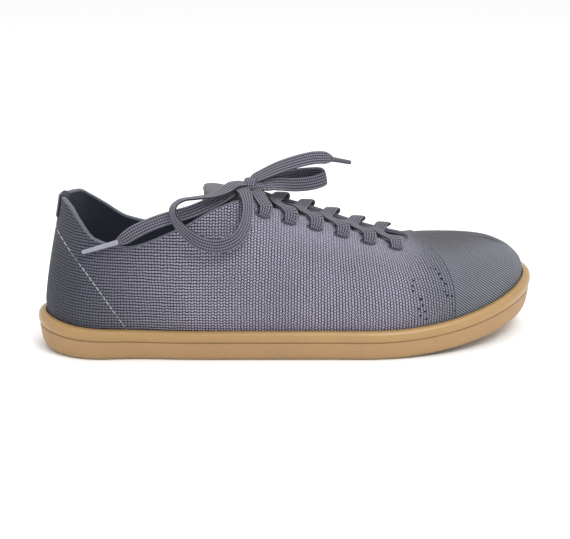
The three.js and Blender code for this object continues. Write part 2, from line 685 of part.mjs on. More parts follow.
// The way a face looks at a place on the tongue.
function bridgeNormal(station, share) {
  const [s, w] = [NORMAL_STEP.station, NORMAL_STEP.share];
  const back = bridgePoint(station - s, share).sub(bridgePoint(station + s, share));
  const across = bridgePoint(station, Math.min(1, share + w)).sub(bridgePoint(station, Math.max(0, share - w)));
  return across.cross(back).normalize();
}

// One strand: out of a slit, over the throat's edge and across the tongue to the pair behind it.
// lift raises it where it crosses over the other side's strand.
function strand(side, number, lift) {
  const [from, to] = [eyelet(side, number), eyelet(side, number - 1)];
  const stationOf = ({ turn }) => sideOfTurn(turn).station;
  const flip = side === lateral ? (share) => share : (share) => 1 - share;
  const edge = outerPoint(from.turn, 1, STRAND_CLEAR + GAP).addScaledVector(UP, STRAND_GAP);
  const points = [
    { at: outerPoint(from.turn, from.rise, STRAND_CLEAR), face: from.normal.clone() },
    { at: edge, face: from.normal.clone().add(UP) },
  ];
  for (const share of CROSSING_SHARES) {
    const station = THREE.MathUtils.lerp(stationOf(from), stationOf(to), share);
    const normal = bridgeNormal(station, flip(share));
    const overRim = (RIM + 2 * STRAND_GAP) * Math.max(0, 1 - share / RIM_SHARE);
    const climbed = THREE.MathUtils.clamp((share - OVERLAP.from) / OVERLAP.length, 0, 1);
    const away = STRAND_CLEAR + overRim + lift * Math.sin(Math.PI * climbed);
    points.push({ at: bridgePoint(station, flip(share)).addScaledVector(normal, away), face: normal });
  }
  return ribbon(points, STRAND_STEPS, STRAND_WIDTH);
}

// Where a top strand stops beside the knot, from the knot's middle along X.
const TOP_STRAND_FORWARD = 2;

// The last strand on each side runs from the top slit to the knot.
function topStrand(side) {
  const from = eyelet(side, 0);
  const out = side === lateral ? -1 : 1;
  const beside = new THREE.Vector3(TOP_STRAND_FORWARD, out * (KNOT.half.y + STRAND_GAP), -LACE_THICKNESS);
  const end = KNOT.at.clone().add(beside);
  const start = outerPoint(from.turn, from.rise, STRAND_CLEAR);
  const edge = outerPoint(from.turn, 1, STRAND_CLEAR);
  return ribbon([
    { at: start, face: from.normal.clone() },
    { at: edge.clone().lerp(start, 0.4), face: from.normal.clone() },
    { at: edge.clone().addScaledVector(UP, GAP), face: UP.clone().add(from.normal) },
    { at: edge.clone().lerp(end, 0.55).addScaledVector(UP, GAP), face: UP.clone() },
    { at: end, face: UP.clone() },
  ], TOP_STRAND_STEPS, STRAND_WIDTH);
}

// The two strands that cross behind a pair of slits, the lateral one on top, as one solid.
function laceCross(number) {
  const under = toSolid(strand(medial, number, 0));
  return fromSolid(under.add(toSolid(strand(lateral, number, LACE_THICKNESS))));
}

// The bow. x, y and z are where the lace's middle runs, and facing is the way its face looks.

const KNOT = { at: new THREE.Vector3(-23, -5, 89), half: new THREE.Vector3(6, 7, 3.6) };
const LOOP_LATERAL = [
  { x: -28.5, y: -13.5, z: 89.6, facing: [0.2, -0.4, 0.9] },
  { x: -27, y: -19, z: 88.0, facing: [0.3, -0.55, 0.75] },
  { x: -26.4, y: -25, z: 84.2, facing: [0.55, -0.75, 0.4] },
  { x: -27, y: -30.5, z: 79.4, facing: [0.6, -0.8, 0.2] },
  { x: -28.8, y: -36, z: 74.2, facing: [0.45, -0.88, 0.1] },
  { x: -33.5, y: -41, z: 68.6, facing: [0.2, -0.97, 0.05] },
  { x: -43, y: -43.5, z: 65.6, facing: [0, -1, 0.1] },
  { x: -53, y: -43, z: 67.6, facing: [-0.15, -0.97, 0.1] },
  { x: -61.5, y: -41, z: 74, facing: [-0.45, -0.88, 0.1] },
  { x: -66.4, y: -38.5, z: 80.5, facing: [-0.7, -0.7, 0.1] },
  { x: -66.6, y: -36, z: 85.6, facing: [-0.65, -0.6, 0.45] },
  { x: -62.5, y: -33, z: 88.4, facing: [-0.25, -0.45, 0.85] },
  { x: -55, y: -29, z: 88.6, facing: [0, -0.3, 0.95] },
  { x: -46, y: -24, z: 88.4, facing: [0.05, -0.3, 0.95] },
  { x: -38.5, y: -19, z: 89.8, facing: [0, -0.35, 0.93] },
  { x: -33, y: -13.5, z: 92, facing: [-0.1, -0.35, 0.9] },
];
const END_LATERAL = [
  { x: -31, y: -10, z: 88.2, facing: [-0.2, -0.35, 0.9] },
  { x: -35.5, y: -14.5, z: 87, facing: [-0.2, -0.5, 0.85] },
  { x: -41.5, y: -19, z: 85, facing: [-0.15, -0.65, 0.75] },
  { x: -49, y: -23, z: 82.8, facing: [-0.1, -0.72, 0.7] },
  { x: -57, y: -26, z: 80.4, facing: [-0.1, -0.76, 0.65] },
  { x: -65, y: -29, z: 79, facing: [-0.15, -0.8, 0.6] },
  { x: -72, y: -31, z: 77.6, facing: [-0.2, -0.8, 0.6] },
  { x: -80, y: -32, z: 75, facing: [-0.25, -0.8, 0.55] },
  { x: -87.5, y: -32.3, z: 71.6, facing: [-0.3, -0.85, 0.45] },
  { x: -93, y: -32.3, z: 68.2, facing: [-0.3, -0.9, 0.35], fill: 0.85 },
  { x: -97.5, y: -32, z: 65.9, facing: [-0.3, -0.9, 0.3], fill: 0.4 },
];
const LOOP_MEDIAL = [
  { x: -14.6, y: -6, z: 89.4, facing: [0, -0.6, 0.8] },
  { x: -10, y: -1, z: 88.6, facing: [0, -0.8, 0.6] },
  { x: -4.5, y: 5, z: 87.4, facing: [0.1, -0.85, 0.5] },
  { x: 3, y: 10, z: 85.8, facing: [0.1, -0.88, 0.45] },
  { x: 11, y: 13.5, z: 85.4, facing: [0.15, -0.9, 0.4] },
  { x: 18, y: 17, z: 86, facing: [0.5, -0.8, 0.3] },
  { x: 22.5, y: 21.5, z: 87, facing: [0.98, -0.1, 0.2] },
  { x: 20.5, y: 26.5, z: 88.2, facing: [0.6, 0.75, 0.2] },
  { x: 13.5, y: 27.5, z: 88.4, facing: [0, 0.95, 0.3] },
  { x: 5.5, y: 25, z: 88.4, facing: [-0.3, 0.9, 0.3] },
  { x: -2, y: 20, z: 88.6, facing: [-0.4, 0.85, 0.35] },
  { x: -9, y: 13, z: 89.6, facing: [-0.4, 0.8, 0.4] },
  { x: -14.5, y: 6, z: 90.6, facing: [-0.4, 0.7, 0.6] },
];
const END_MEDIAL = [
  { x: -19.5, y: -4.5, z: 93.6, facing: [-0.3, -0.5, 0.8] },
  { x: -14, y: -1.5, z: 95.4, facing: [-0.25, -0.65, 0.7] },
  { x: -7.5, y: 2.5, z: 97.2, facing: [-0.15, -0.75, 0.65] },
  { x: 0, y: 6.5, z: 98.8, facing: [-0.1, -0.78, 0.6] },
  { x: 8.5, y: 10, z: 100.2, facing: [0, -0.8, 0.6] },
  { x: 16, y: 12.5, z: 100.8, facing: [0.1, -0.8, 0.6] },
  { x: 22, y: 14, z: 100.2, facing: [0.2, -0.8, 0.55], fill: 0.9 },
  { x: 26, y: 14.8, z: 99, facing: [0.25, -0.8, 0.55], fill: 0.42 },
];

const BOW_STEPS = { loopLateral: 30, loopMedial: 22, endLateral: 18, endMedial: 12 };

const bowPoints = (rows) => rows.map(({ x, y, z, facing, fill }) => (
  { at: new THREE.Vector3(x, y, z), face: new THREE.Vector3(...facing), fill }));

const KNOT_FACES = { around: 12, down: 8 };

// The knot is one lump, wider than it is high.
function laceKnot() {
  const lump = new THREE.SphereGeometry(1, KNOT_FACES.around, KNOT_FACES.down);
  return lump.scale(KNOT.half.x, KNOT.half.y, KNOT.half.z).translate(KNOT.at.x, KNOT.at.y, KNOT.at.z);
}

const AGLET_TAPER = 0.8; // the tip's width as a share of AGLET_WIDTH
const AGLET_SIDES = 10;
const AGLET_LATERAL_TIP = new THREE.Vector3(-115.8, -29.5, 60.4);
const AGLET_MEDIAL_TIP = new THREE.Vector3(36.6, 17, 96.5);

// A round tip that carries on where an end stops.
function aglet(rows, tip) {
  const { x, y, z } = rows.at(-1);
  const start = new THREE.Vector3(x, y, z);
  const along = tip.clone().sub(start).normalize();
  start.addScaledVector(along, 2 * GAP);
  const length = start.distanceTo(tip);
  const rod = new THREE.CylinderGeometry(AGLET_WIDTH / 2 * AGLET_TAPER, AGLET_WIDTH / 2, length, AGLET_SIDES);
  const turned = new THREE.Quaternion().setFromUnitVectors(new THREE.Vector3(0, 1, 0), along);
  return rod.applyQuaternion(turned).translate(...start.lerp(tip, 0.5).toArray());
}

const colours = {
  gum: { color: 0xbe9458, roughness: 0.55, metalness: 0 },
  knit: { color: 0x77768a, roughness: 0.95, metalness: 0 },
  lining: { color: 0x1b2230, roughness: 0.9, metalness: 0 },
  cloth: { color: 0x7b7b80, roughness: 0.95, metalness: 0 },
  lace: { color: 0x66657a, roughness: 0.9, metalness: 0 },
  clear: { color: 0xc9ccd4, roughness: 0.3, metalness: 0 },
};

function named(name, geometry, look) {
  const flat = geometry.index ? geometry : mergeVertices(geometry);
  flat.computeVertexNormals();
  const mesh = new THREE.Mesh(flat, new THREE.MeshStandardMaterial(look));
  mesh.name = name;
  return mesh;
}

const shoe = new THREE.Group();
shoe.add(named('outsole', outsole(), colours.gum));
shoe.add(named('insole', insole(), colours.lining));
shoe.add(named('upper', upper(), colours.knit));
shoe.add(named('tongue', tongue(), colours.cloth));
shoe.add(named('heel_tab', heelTab(), colours.lining));
for (const number of eyeletNumbers.slice(1)) {
  shoe.add(named(`lace_cross_${number}`, laceCross(number), colours.lace));
}
shoe.add(named('lace_top_lateral', topStrand(lateral), colours.lace));
shoe.add(named('lace_top_medial', topStrand(medial), colours.lace));
shoe.add(named('lace_knot', laceKnot(), colours.lace));
shoe.add(named('lace_loop_lateral', ribbon(bowPoints(LOOP_LATERAL), BOW_STEPS.loopLateral), colours.lace));
shoe.add(named('lace_loop_medial', ribbon(bowPoints(LOOP_MEDIAL), BOW_STEPS.loopMedial), colours.lace));
shoe.add(named('lace_end_lateral', ribbon(bowPoints(END_LATERAL), BOW_STEPS.endLateral), colours.lace));
shoe.add(named('lace_end_medial', ribbon(bowPoints(END_MEDIAL), BOW_STEPS.endMedial), colours.lace));
shoe.add(named('aglet_lateral', aglet(END_LATERAL, AGLET_LATERAL_TIP), colours.clear));
shoe.add(named('aglet_medial', aglet(END_MEDIAL, AGLET_MEDIAL_TIP), colours.lace));

export default shoe;
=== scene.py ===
"""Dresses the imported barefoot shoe: knit, gum sole, lining, tongue and the tied flat lace.

Sizes are in millimetres, in the CAD's frame: +X runs to the toe, +Z up, and the lateral side of the
foot faces -Y. Meshes are written in metres.
"""
from __future__ import annotations

import logging
import math
from dataclasses import dataclass, field
from enum import Enum
from functools import cached_property
from typing import Any, Sequence

import bpy
import numpy as np
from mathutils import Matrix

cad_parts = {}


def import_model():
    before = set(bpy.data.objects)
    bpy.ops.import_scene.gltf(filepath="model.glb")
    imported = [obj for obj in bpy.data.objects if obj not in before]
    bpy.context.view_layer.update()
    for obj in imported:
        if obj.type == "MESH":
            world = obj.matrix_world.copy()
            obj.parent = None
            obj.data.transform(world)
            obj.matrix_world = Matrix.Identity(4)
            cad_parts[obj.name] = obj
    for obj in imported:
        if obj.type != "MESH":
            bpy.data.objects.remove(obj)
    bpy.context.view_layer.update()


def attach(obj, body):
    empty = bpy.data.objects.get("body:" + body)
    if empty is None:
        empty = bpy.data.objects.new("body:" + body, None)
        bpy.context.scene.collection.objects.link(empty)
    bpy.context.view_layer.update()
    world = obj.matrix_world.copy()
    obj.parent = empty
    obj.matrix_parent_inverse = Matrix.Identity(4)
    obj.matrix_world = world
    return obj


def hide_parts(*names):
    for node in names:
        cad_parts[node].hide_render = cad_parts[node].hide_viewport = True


LOG = logging.getLogger("shoe")
Array = np.ndarray
METRE = 0.001
BODY = "root"


class Side(Enum):
    """The two sides of the foot."""

    LATERAL = -1
    MEDIAL = 1


# The last's tables, as in the part's source.

PLAN = np.array([  # along, middle, lateral, medial
    (0.0, -0.024, 0.327, 0.327),
    (0.16, -0.024, 0.33, 0.325),
    (0.28, -0.015, 0.38, 0.304),
    (0.42, 0.02, 0.456, 0.283),
    (0.55, 0.07, 0.543, 0.305),
    (0.66, 0.115, 0.617, 0.353),
    (0.76, 0.135, 0.635, 0.365),
    (1.0, 0.135, 0.635, 0.365),
])
HEEL, ANKLE, INSTEP, VAMP = 86.5, 62.0, 85.0, 54.0
SECTIONS = {  # station, along, across, height, flare, lean, low, high
    Side.LATERAL: np.array([
        (0.0, 0.056, -0.024, 0.985 * HEEL, -4, 80, 0.35, 0.35),
        (0.05, 0.061, -0.091, 0.987 * HEEL, -3, 80, 0.35, 0.35),
        (0.1, 0.074, -0.154, 0.955 * HEEL, -1, 80, 0.35, 0.35),
        (0.15, 0.091, -0.207, 0.873 * HEEL, 3, 80, 0.35, 0.35),
        (0.2, 0.119, -0.245, 0.763 * HEEL, 4, 80, 0.35, 0.35),
        (0.28, 0.181, -0.284, 1.0 * ANKLE, 5, 80, 0.35, 0.35),
        (0.35, 0.279, -0.3, 0.847 * INSTEP, 5, 72, 0.38, 0.35),
        (0.4, 0.355, -0.25, 0.965 * INSTEP, 4, 60, 0.4, 0.35),
        (0.43, 0.402, -0.197, 0.995 * INSTEP, 3.5, 51, 0.41, 0.36),
        (0.46, 0.452, -0.155, 0.928 * INSTEP, 3, 43, 0.42, 0.37),
        (0.53, 0.558, -0.122, 0.812 * INSTEP, 2, 33, 0.42, 0.4),
        (0.6, 0.652, -0.118, 1.11 * VAMP, 2, 25, 0.42, 0.43),
        (0.66, 0.712, -0.092, 1.02 * VAMP, 2, 18, 0.43, 0.45),
        (0.685, 0.736, -0.03, 1.02 * VAMP, 2, 9, 0.44, 0.48),
        (0.7, 0.742, 0.045, 1.025 * VAMP, 2, 3, 0.44, 0.5),
        (0.78, 0.818, 0.08, 1.0 * VAMP, 2, 1, 0.46, 0.5),
        (0.86, 0.872, 0.106, 0.975 * VAMP, 1, 2, 0.44, 0.46),
        (0.93, 0.897, 0.118, 0.94 * VAMP, 0, 6, 0.4, 0.43),
        (1.0, 0.905, 0.125, 0.92 * VAMP, 0, 9, 0.36, 0.42),
    ]),
    Side.MEDIAL: np.array([
        (0.0, 0.056, -0.024, 0.985 * HEEL, -4, 80, 0.35, 0.35),
        (0.05, 0.064, 0.043, 0.99 * HEEL, -3, 80, 0.35, 0.35),
        (0.1, 0.084, 0.115, 0.985 * HEEL, -1, 80, 0.35, 0.35),
        (0.15, 0.105, 0.173, 0.937 * HEEL, 2, 80, 0.35, 0.35),
        (0.2, 0.133, 0.212, 0.867 * HEEL, 3, 80, 0.35, 0.35),
        (0.26, 0.18, 0.243, 0.76 * HEEL, 3, 80, 0.35, 0.35),
        (0.33, 0.24, 0.255, 1.0 * ANKLE, 3, 78, 0.36, 0.35),
        (0.38, 0.314, 0.255, 0.83 * INSTEP, 3, 70, 0.38, 0.35),
        (0.43, 0.402, 0.212, 1.005 * INSTEP, 3, 50, 0.42, 0.36),
        (0.46, 0.452, 0.185, 0.936 * INSTEP, 4, 42, 0.42, 0.38),
        (0.53, 0.558, 0.16, 0.824 * INSTEP, 4, 36, 0.42, 0.4),
        (0.6, 0.652, 0.155, 1.12 * VAMP, 4, 27, 0.42, 0.44),
        (0.66, 0.712, 0.14, 1.04 * VAMP, 3, 18, 0.43, 0.46),
        (0.685, 0.736, 0.1, 1.025 * VAMP, 3, 9, 0.44, 0.48),
        (0.7, 0.742, 0.045, 1.025 * VAMP, 3, 3, 0.44, 0.5),
        (0.78, 0.818, 0.08, 1.005 * VAMP, 3, 1, 0.46, 0.5),
        (0.86, 0.872, 0.106, 0.975 * VAMP, 2, 2, 0.44, 0.46),
        (0.93, 0.897, 0.118, 0.94 * VAMP, 1, 6, 0.4, 0.43),
        (1.0, 0.905, 0.125, 0.92 * VAMP, 0, 9, 0.36, 0.42),
    ]),
}


def follow(rows: Array, column: int, at: Array) -> Array:
    """Reads one column of a table on a smooth curve without overshoot.

    A cubic runs from row to row, and its slope at a row is the harmonic mean of the slopes beside it.

    Args:
        rows: The table, with its key in column 0.
        column: The column to read.
        at: Where to read it.

    Returns:
        The values.
    """
    key, value = rows[:, 0], rows[:, column]
    slope = np.diff(value) / np.diff(key)
    product, total = slope[:-1] * slope[1:], slope[:-1] + slope[1:]
    inner = np.where(product <= 0, 0.0, 2 * product / np.where(total == 0, 1.0, total))
    tangent = np.concatenate([slope[:1], inner, slope[-1:]])
    k = np.clip(np.searchsorted(key, at, side="right") - 1, 0, len(key) - 2)
    step = key[k + 1] - key[k]
    u = np.clip((at - key[k]) / step, 0, 1)
    u2, u3 = u * u, u * u * u
    return ((2 * u3 - 3 * u2 + 1) * value[k] + (u3 - 2 * u2 + u) * step * tangent[k]
            + (3 * u2 - 2 * u3) * value[k + 1] + (u3 - u2) * step * tangent[k + 1])


def smooth(value: Array) -> Array:
    """Eases 0 to 1: 3t^2 - 2t^3, held at the ends.

    Args:
        value: The values.

    Returns:
        The eased values.
    """
    t = np.clip(value, 0, 1)
    return t * t * (3 - 2 * t)


def unit(vectors: Array) -> Array:
    """Scales vectors to length 1.

    Args:
        vectors: The vectors.

    Returns:
        The scaled vectors.
    """
    return vectors / np.maximum(np.linalg.norm(vectors, axis=-1, keepdims=True), 1e-9)


@dataclass(frozen=True)
class Last:
    """The shoe's shape as functions of turn and rise.

    A turn runs round the sole: 0 at the heel, 1 at the toe by the lateral side, 2 at the heel again.
    A rise runs up the upper: 0 at the sole's lip, 1 at the collar, throat or vamp line.
    """

    length: float = 286.0
    ball_width: float = 104.0
    side_height: float = 16.5
    heel_bumper: float = 3.6
    toe_bumper: float = 3.6
    lip: float = 4.6
    foot_bed: float = 7.0
    toe_spring: float = 13.5
    heel_lift: float = 1.5
    heel_lift_end: float = 0.1  # this and the next six are shares of the length
    spring_start: float = 0.64
    heel_bumper_end: float = 0.27
    toe_bumper_start: float = 0.68
    heel_round: float = 0.137
    lateral_round: float = 0.333
    medial_round: float = 0.18
    round_power: float = 2.0  # of the ends' ellipses
    medial_power: float = 2.3
    wall: float = 1.8
    quarter_step: float = 0.8
    gap: float = 0.3
    throat_end: float = 0.7
    seam_station: float = 0.712
    seam_slope: float = 0.004  # stations over which the quarters' step falls
    step_start: float = 0.09  # rises over which it grows out of the cup

    def station(self, turn: Array) -> Array:
        """How far from heel to toe each turn is.

        Args:
            turn: The turns.

        Returns:
            The stations, from 0 to 1.
        """
        t = np.mod(turn, 2)
        return np.where(t <= 1, t, 2 - t)

    def along(self, turn: Array) -> Array:
        """The share of the sole's length at each turn: (1 - cos(pi s)) / 2.

        Args:
            turn: The turns.

        Returns:
            The shares.
        """
        return (1 - np.cos(np.pi * self.station(turn))) / 2

    def place(self, along: Array, across: Array, height: Array) -> Array:
        """Puts points in the CAD's frame.

        Args:
            along: Shares of the length.
            across: Shares of the ball width.
            height: Heights in millimetres.

        Returns:
            The points.
        """
        x = (along - 0.5) * self.length
        return np.stack(np.broadcast_arrays(x, (across - self.middle) * self.ball_width, height), -1)

    def raw_across(self, turn: Array) -> Array:
        """The plan's edge: the middle plus or minus the reach, which is rounded off at both ends.

        Args:
            turn: The turns.

        Returns:
            Shares of the ball width.
        """
        along = self.along(turn)
        is_lateral = np.mod(turn, 2) <= 1
        reach = np.where(is_lateral, follow(PLAN, 2, along), follow(PLAN, 3, along))

        def end(distance: Array, length: Array, power: Array) -> Array:
            """The share that a superellipse of this length and power leaves near an end."""
            inside = np.maximum(0, 1 - distance / length)
            return np.maximum(0, 1 - inside ** power) ** (1 / power)

        reach = reach * end(along, np.float64(self.heel_round), np.float64(self.round_power))
        length = np.where(is_lateral, self.lateral_round, self.medial_round)
        reach = reach * end(1 - along, length, np.where(is_lateral, self.round_power, self.medial_power))
        return follow(PLAN, 1, along) + np.where(is_lateral, -reach, reach)

    @cached_property
    def middle(self) -> float:
        """The middle of the plan's width."""
        s = np.arange(401) / 400
        return float(self.raw_across(s).min() + self.raw_across(2 - s[1:]).max()) / 2

    def edge(self, turn: Array) -> Array:
        """The sole's edge on the ground.

        Args:
            turn: The turns.

        Returns:
            The points.
        """
        return self.place(self.along(turn), self.raw_across(turn), np.zeros_like(turn))

    def outward(self, turn: Array) -> Array:
        """The level direction out of the sole's edge.

        Args:
            turn: The turns.

        Returns:
            Vectors of length 1.
        """
        step = 0.004
        tangent = unit(self.edge(turn + step) - self.edge(turn - step))
        return np.stack([tangent[..., 1], -tangent[..., 0], np.zeros_like(turn)], -1)

    def inset(self, turn: Array, distance: Array) -> Array:
        """The sole's edge moved inwards.

        Args:
            turn: The turns.
            distance: How far in, in millimetres.

        Returns:
            The points.
        """
        return self.edge(turn) - self.outward(turn) * np.asarray(distance)[..., None]

    def ground(self, along: Array) -> Array:
        """How high the tread is: a square rise at the heel's back and from the ball to the toe.

        Args:
            along: Shares of the length.

        Returns:
            The heights.
        """
        heel = np.maximum(0, 1 - along / self.heel_lift_end)
        toe = np.maximum(0, (along - self.spring_start) / (1 - self.spring_start))
        return self.heel_lift * heel ** 2 + self.toe_spring * toe ** 2

    def side(self, along: Array) -> Array:
        """How high the sole's side is over the tread.

        Args:
            along: Shares of the length.

        Returns:
            The heights.
        """
        heel = np.maximum(0, 1 - along / self.heel_bumper_end)
        toe = np.maximum(0, (along - self.toe_bumper_start) / (1 - self.toe_bumper_start))
        return self.side_height + self.heel_bumper * heel ** 2 + self.toe_bumper * toe ** 2

    def lip_point(self, turn: Array) -> Array:
        """Where the upper leaves the cup.

        Args:
            turn: The turns.

        Returns:
            The points.
        """
        along = self.along(turn)
        p = self.inset(turn, np.full_like(turn, self.lip + self.gap))
        p[..., 2] = self.ground(along) + self.side(along)
        return p

    def read(self, column: int, turn: Array, shared_top: bool = False) -> Array:
        """Reads a column of the sections on the side that the turn is on.

        Args:
            column: The column.
            turn: The turns.
            shared_top: Whether both sides read the lateral rows in front of the throat.

        Returns:
            The values.
        """
        s = self.station(turn)
        lateral = follow(SECTIONS[Side.LATERAL], column, s)
        medial = follow(SECTIONS[Side.MEDIAL], column, s)
        on_lateral = np.mod(turn, 2) <= 1
        if shared_top:
            on_lateral = on_lateral | (s >= self.throat_end - 1e-9)
        return np.where(on_lateral, lateral, medial)

    def top(self, turn: Array) -> Array:
        """The collar's, throat's or vamp's line.

        Args:
            turn: The turns.

        Returns:
            The points.
        """
        return self.place(*(self.read(c, turn, True) for c in (1, 2, 3)))

    def face(self, turn: Array, rise: Array) -> Array:
        """The upper's smooth outer face: a cubic Bezier curve from the lip to the top line.

        Args:
            turn: The turns.
            rise: The rises.

        Returns:
            The points.
        """
        turn, rise = np.broadcast_arrays(np.asarray(turn, float), np.asarray(rise, float))
        start, end, out = self.lip_point(turn), self.top(turn), self.outward(turn)
        chord = np.linalg.norm(end - start, axis=-1)[..., None]
        flare, lean = np.radians(self.read(4, turn))[..., None], np.radians(self.read(5, turn))[..., None]
        low, high = self.read(6, turn)[..., None], self.read(7, turn)[..., None]
        up = np.array([0.0, 0.0, 1.0])
        first = start + (up * np.cos(flare) + out * np.sin(flare)) * low * chord
        second = end + (out * np.cos(lean) - up * np.sin(lean)) * high * chord
        r = rise[..., None]
        q = 1 - r
        return q ** 3 * start + 3 * q * q * r * first + 3 * q * r * r * second + r ** 3 * end

    def normal(self, turn: Array, rise: Array) -> Array:
        """The way the outer face looks, shared by both sides on the vamp's middle line.

        Args:
            turn: The turns.
            rise: The rises.

        Returns:
            Vectors of length 1.
        """
        turn, rise = np.broadcast_arrays(np.asarray(turn, float), np.asarray(rise, float))

        def raw(t: Array) -> Array:
            """The face's normal on one side: along it, crossed with the way up it."""
            r = np.clip(rise, 0.01, 0.99)
            along = self.face(t + 0.003, r) - self.face(t - 0.003, r)
            climb = self.face(t, r + 0.01) - self.face(t, r - 0.01)
            return unit(np.cross(along, climb))

        own = raw(turn)
        closed = (self.station(turn) >= self.throat_end - 1e-9)[..., None]
        share = np.where(closed, smooth((rise - 0.9) / 0.1)[..., None] / 2, 0)
        return unit(own * (1 - share) + raw(2 - turn) * share)

    def outer(self, turn: Array, rise: Array, away: Any = 0.0) -> Array:
        """The knit's face. The quarters stand over the vamp behind the front seam.

        Args:
            turn: The turns.
            rise: The rises.
            away: How far off the face, in millimetres.

        Returns:
            The points.
        """
        turn, rise = np.broadcast_arrays(np.asarray(turn, float), np.asarray(rise, float))
        behind = smooth((self.seam_station + self.seam_slope - self.station(turn)) / self.seam_slope)
        step = self.quarter_step * behind * np.clip(rise / self.step_start, 0, 1)
        lift = step + away + creases(self.station(turn), turn, rise)
        return self.face(turn, rise) + self.normal(turn, rise) * np.asarray(lift)[..., None]

    def inner(self, turn: Array, rise: Array, away: Any = 0.0) -> Array:
        """The lining's face.

        Args:
            turn: The turns.
            rise: The rises.
            away: How far further in, in millimetres.

        Returns:
            The points.
        """
        turn, rise = np.broadcast_arrays(np.asarray(turn, float), np.asarray(rise, float))
        lift = -self.wall - away + creases(self.station(turn), turn, rise)
        return self.face(turn, rise) + self.normal(turn, rise) * np.asarray(lift)[..., None]


@dataclass(frozen=True)
class Crease:
    """A soft trough or ridge, placed by station, side and rise."""

    side: Side
    station: float
    rise: float
    long: float  # half length along the crease, in stations
    wide: float  # half width across it, in rises
    depth: float  # millimetres, below 0 for a trough
    tilt: float = 0.0  # rises climbed for each station


CREASES = (
    Crease(Side.LATERAL, 0.33, 0.72, 0.06, 0.12, -0.9, 1.4),
    Crease(Side.LATERAL, 0.42, 0.62, 0.05, 0.1, -0.5, -1.2),
    Crease(Side.LATERAL, 0.6, 0.6, 0.03, 0.1, -0.5, -4.0),
    Crease(Side.LATERAL, 0.645, 0.72, 0.03, 0.12, 0.45, -4.0),
    Crease(Side.LATERAL, 0.69, 0.8, 0.03, 0.14, -0.5, -3.0),
    Crease(Side.MEDIAL, 0.35, 0.7, 0.06, 0.12, -0.8, 1.2),
    Crease(Side.MEDIAL, 0.62, 0.62, 0.03, 0.1, -0.5, -4.0),
    Crease(Side.MEDIAL, 0.67, 0.76, 0.03, 0.12, 0.45, -4.0),
    Crease(Side.LATERAL, 0.12, 0.55, 0.03, 0.2, -0.5, 2.0),
    Crease(Side.MEDIAL, 0.12, 0.5, 0.03, 0.2, -0.5, 2.0),
)


CREASE_FADE = 0.1  # rises over which creases fade at the lip and at the top line


def creases(station: Array, turn: Array, rise: Array) -> Array:
    """The upper's troughs and ridges: a bell across each crease times a bell along it.

    Args:
        station: How far towards the toe each point is.
        turn: The points' turns, which give their side.
        rise: The points' rises.

    Returns:
        How far each point moves out, in millimetres.
    """
    total = np.zeros(np.broadcast(station, rise).shape)
    lateral = np.mod(turn, 2) <= 1
    for c in CREASES:
        run = (station - c.station) / c.long
        across = (rise - c.rise - c.tilt * (station - c.station)) / c.wide
        depth = np.where(lateral == (c.side is Side.LATERAL), c.depth, 0)
        total = total + depth * np.exp(-run ** 2 - across ** 2)
    return total * smooth((1 - rise) / CREASE_FADE) * smooth(rise / CREASE_FADE)


LAST = Last()

THROAT_TOP = 0.43  # station
PINHOLE_SWELL = 1.35  # a hole's shadow is this much wider than the hole
PINHOLES = (  # station, rise, radius in millimetres: the rear row from its top down, then the front row
    (0.6525, 0.473, 0.62), (0.6495, 0.415, 0.55), (0.648, 0.357, 0.62), (0.6575, 0.26, 0.68),
    (0.6595, 0.193, 0.6), (0.653, 0.165, 0.6), (0.662, 0.13, 0.55), (0.655, 0.1, 0.62),
    (0.664, 0.06, 0.68), (0.6845, 0.545, 0.5), (0.692, 0.492, 0.58), (0.6935, 0.427, 0.66),
    (0.6955, 0.367, 0.7), (0.6985, 0.305, 0.62), (0.696, 0.24, 0.5), (0.699, 0.198, 0.62),
    (0.7065, 0.185, 0.6), (0.7055, 0.12, 0.48), (0.71, 0.06, 0.5),
)


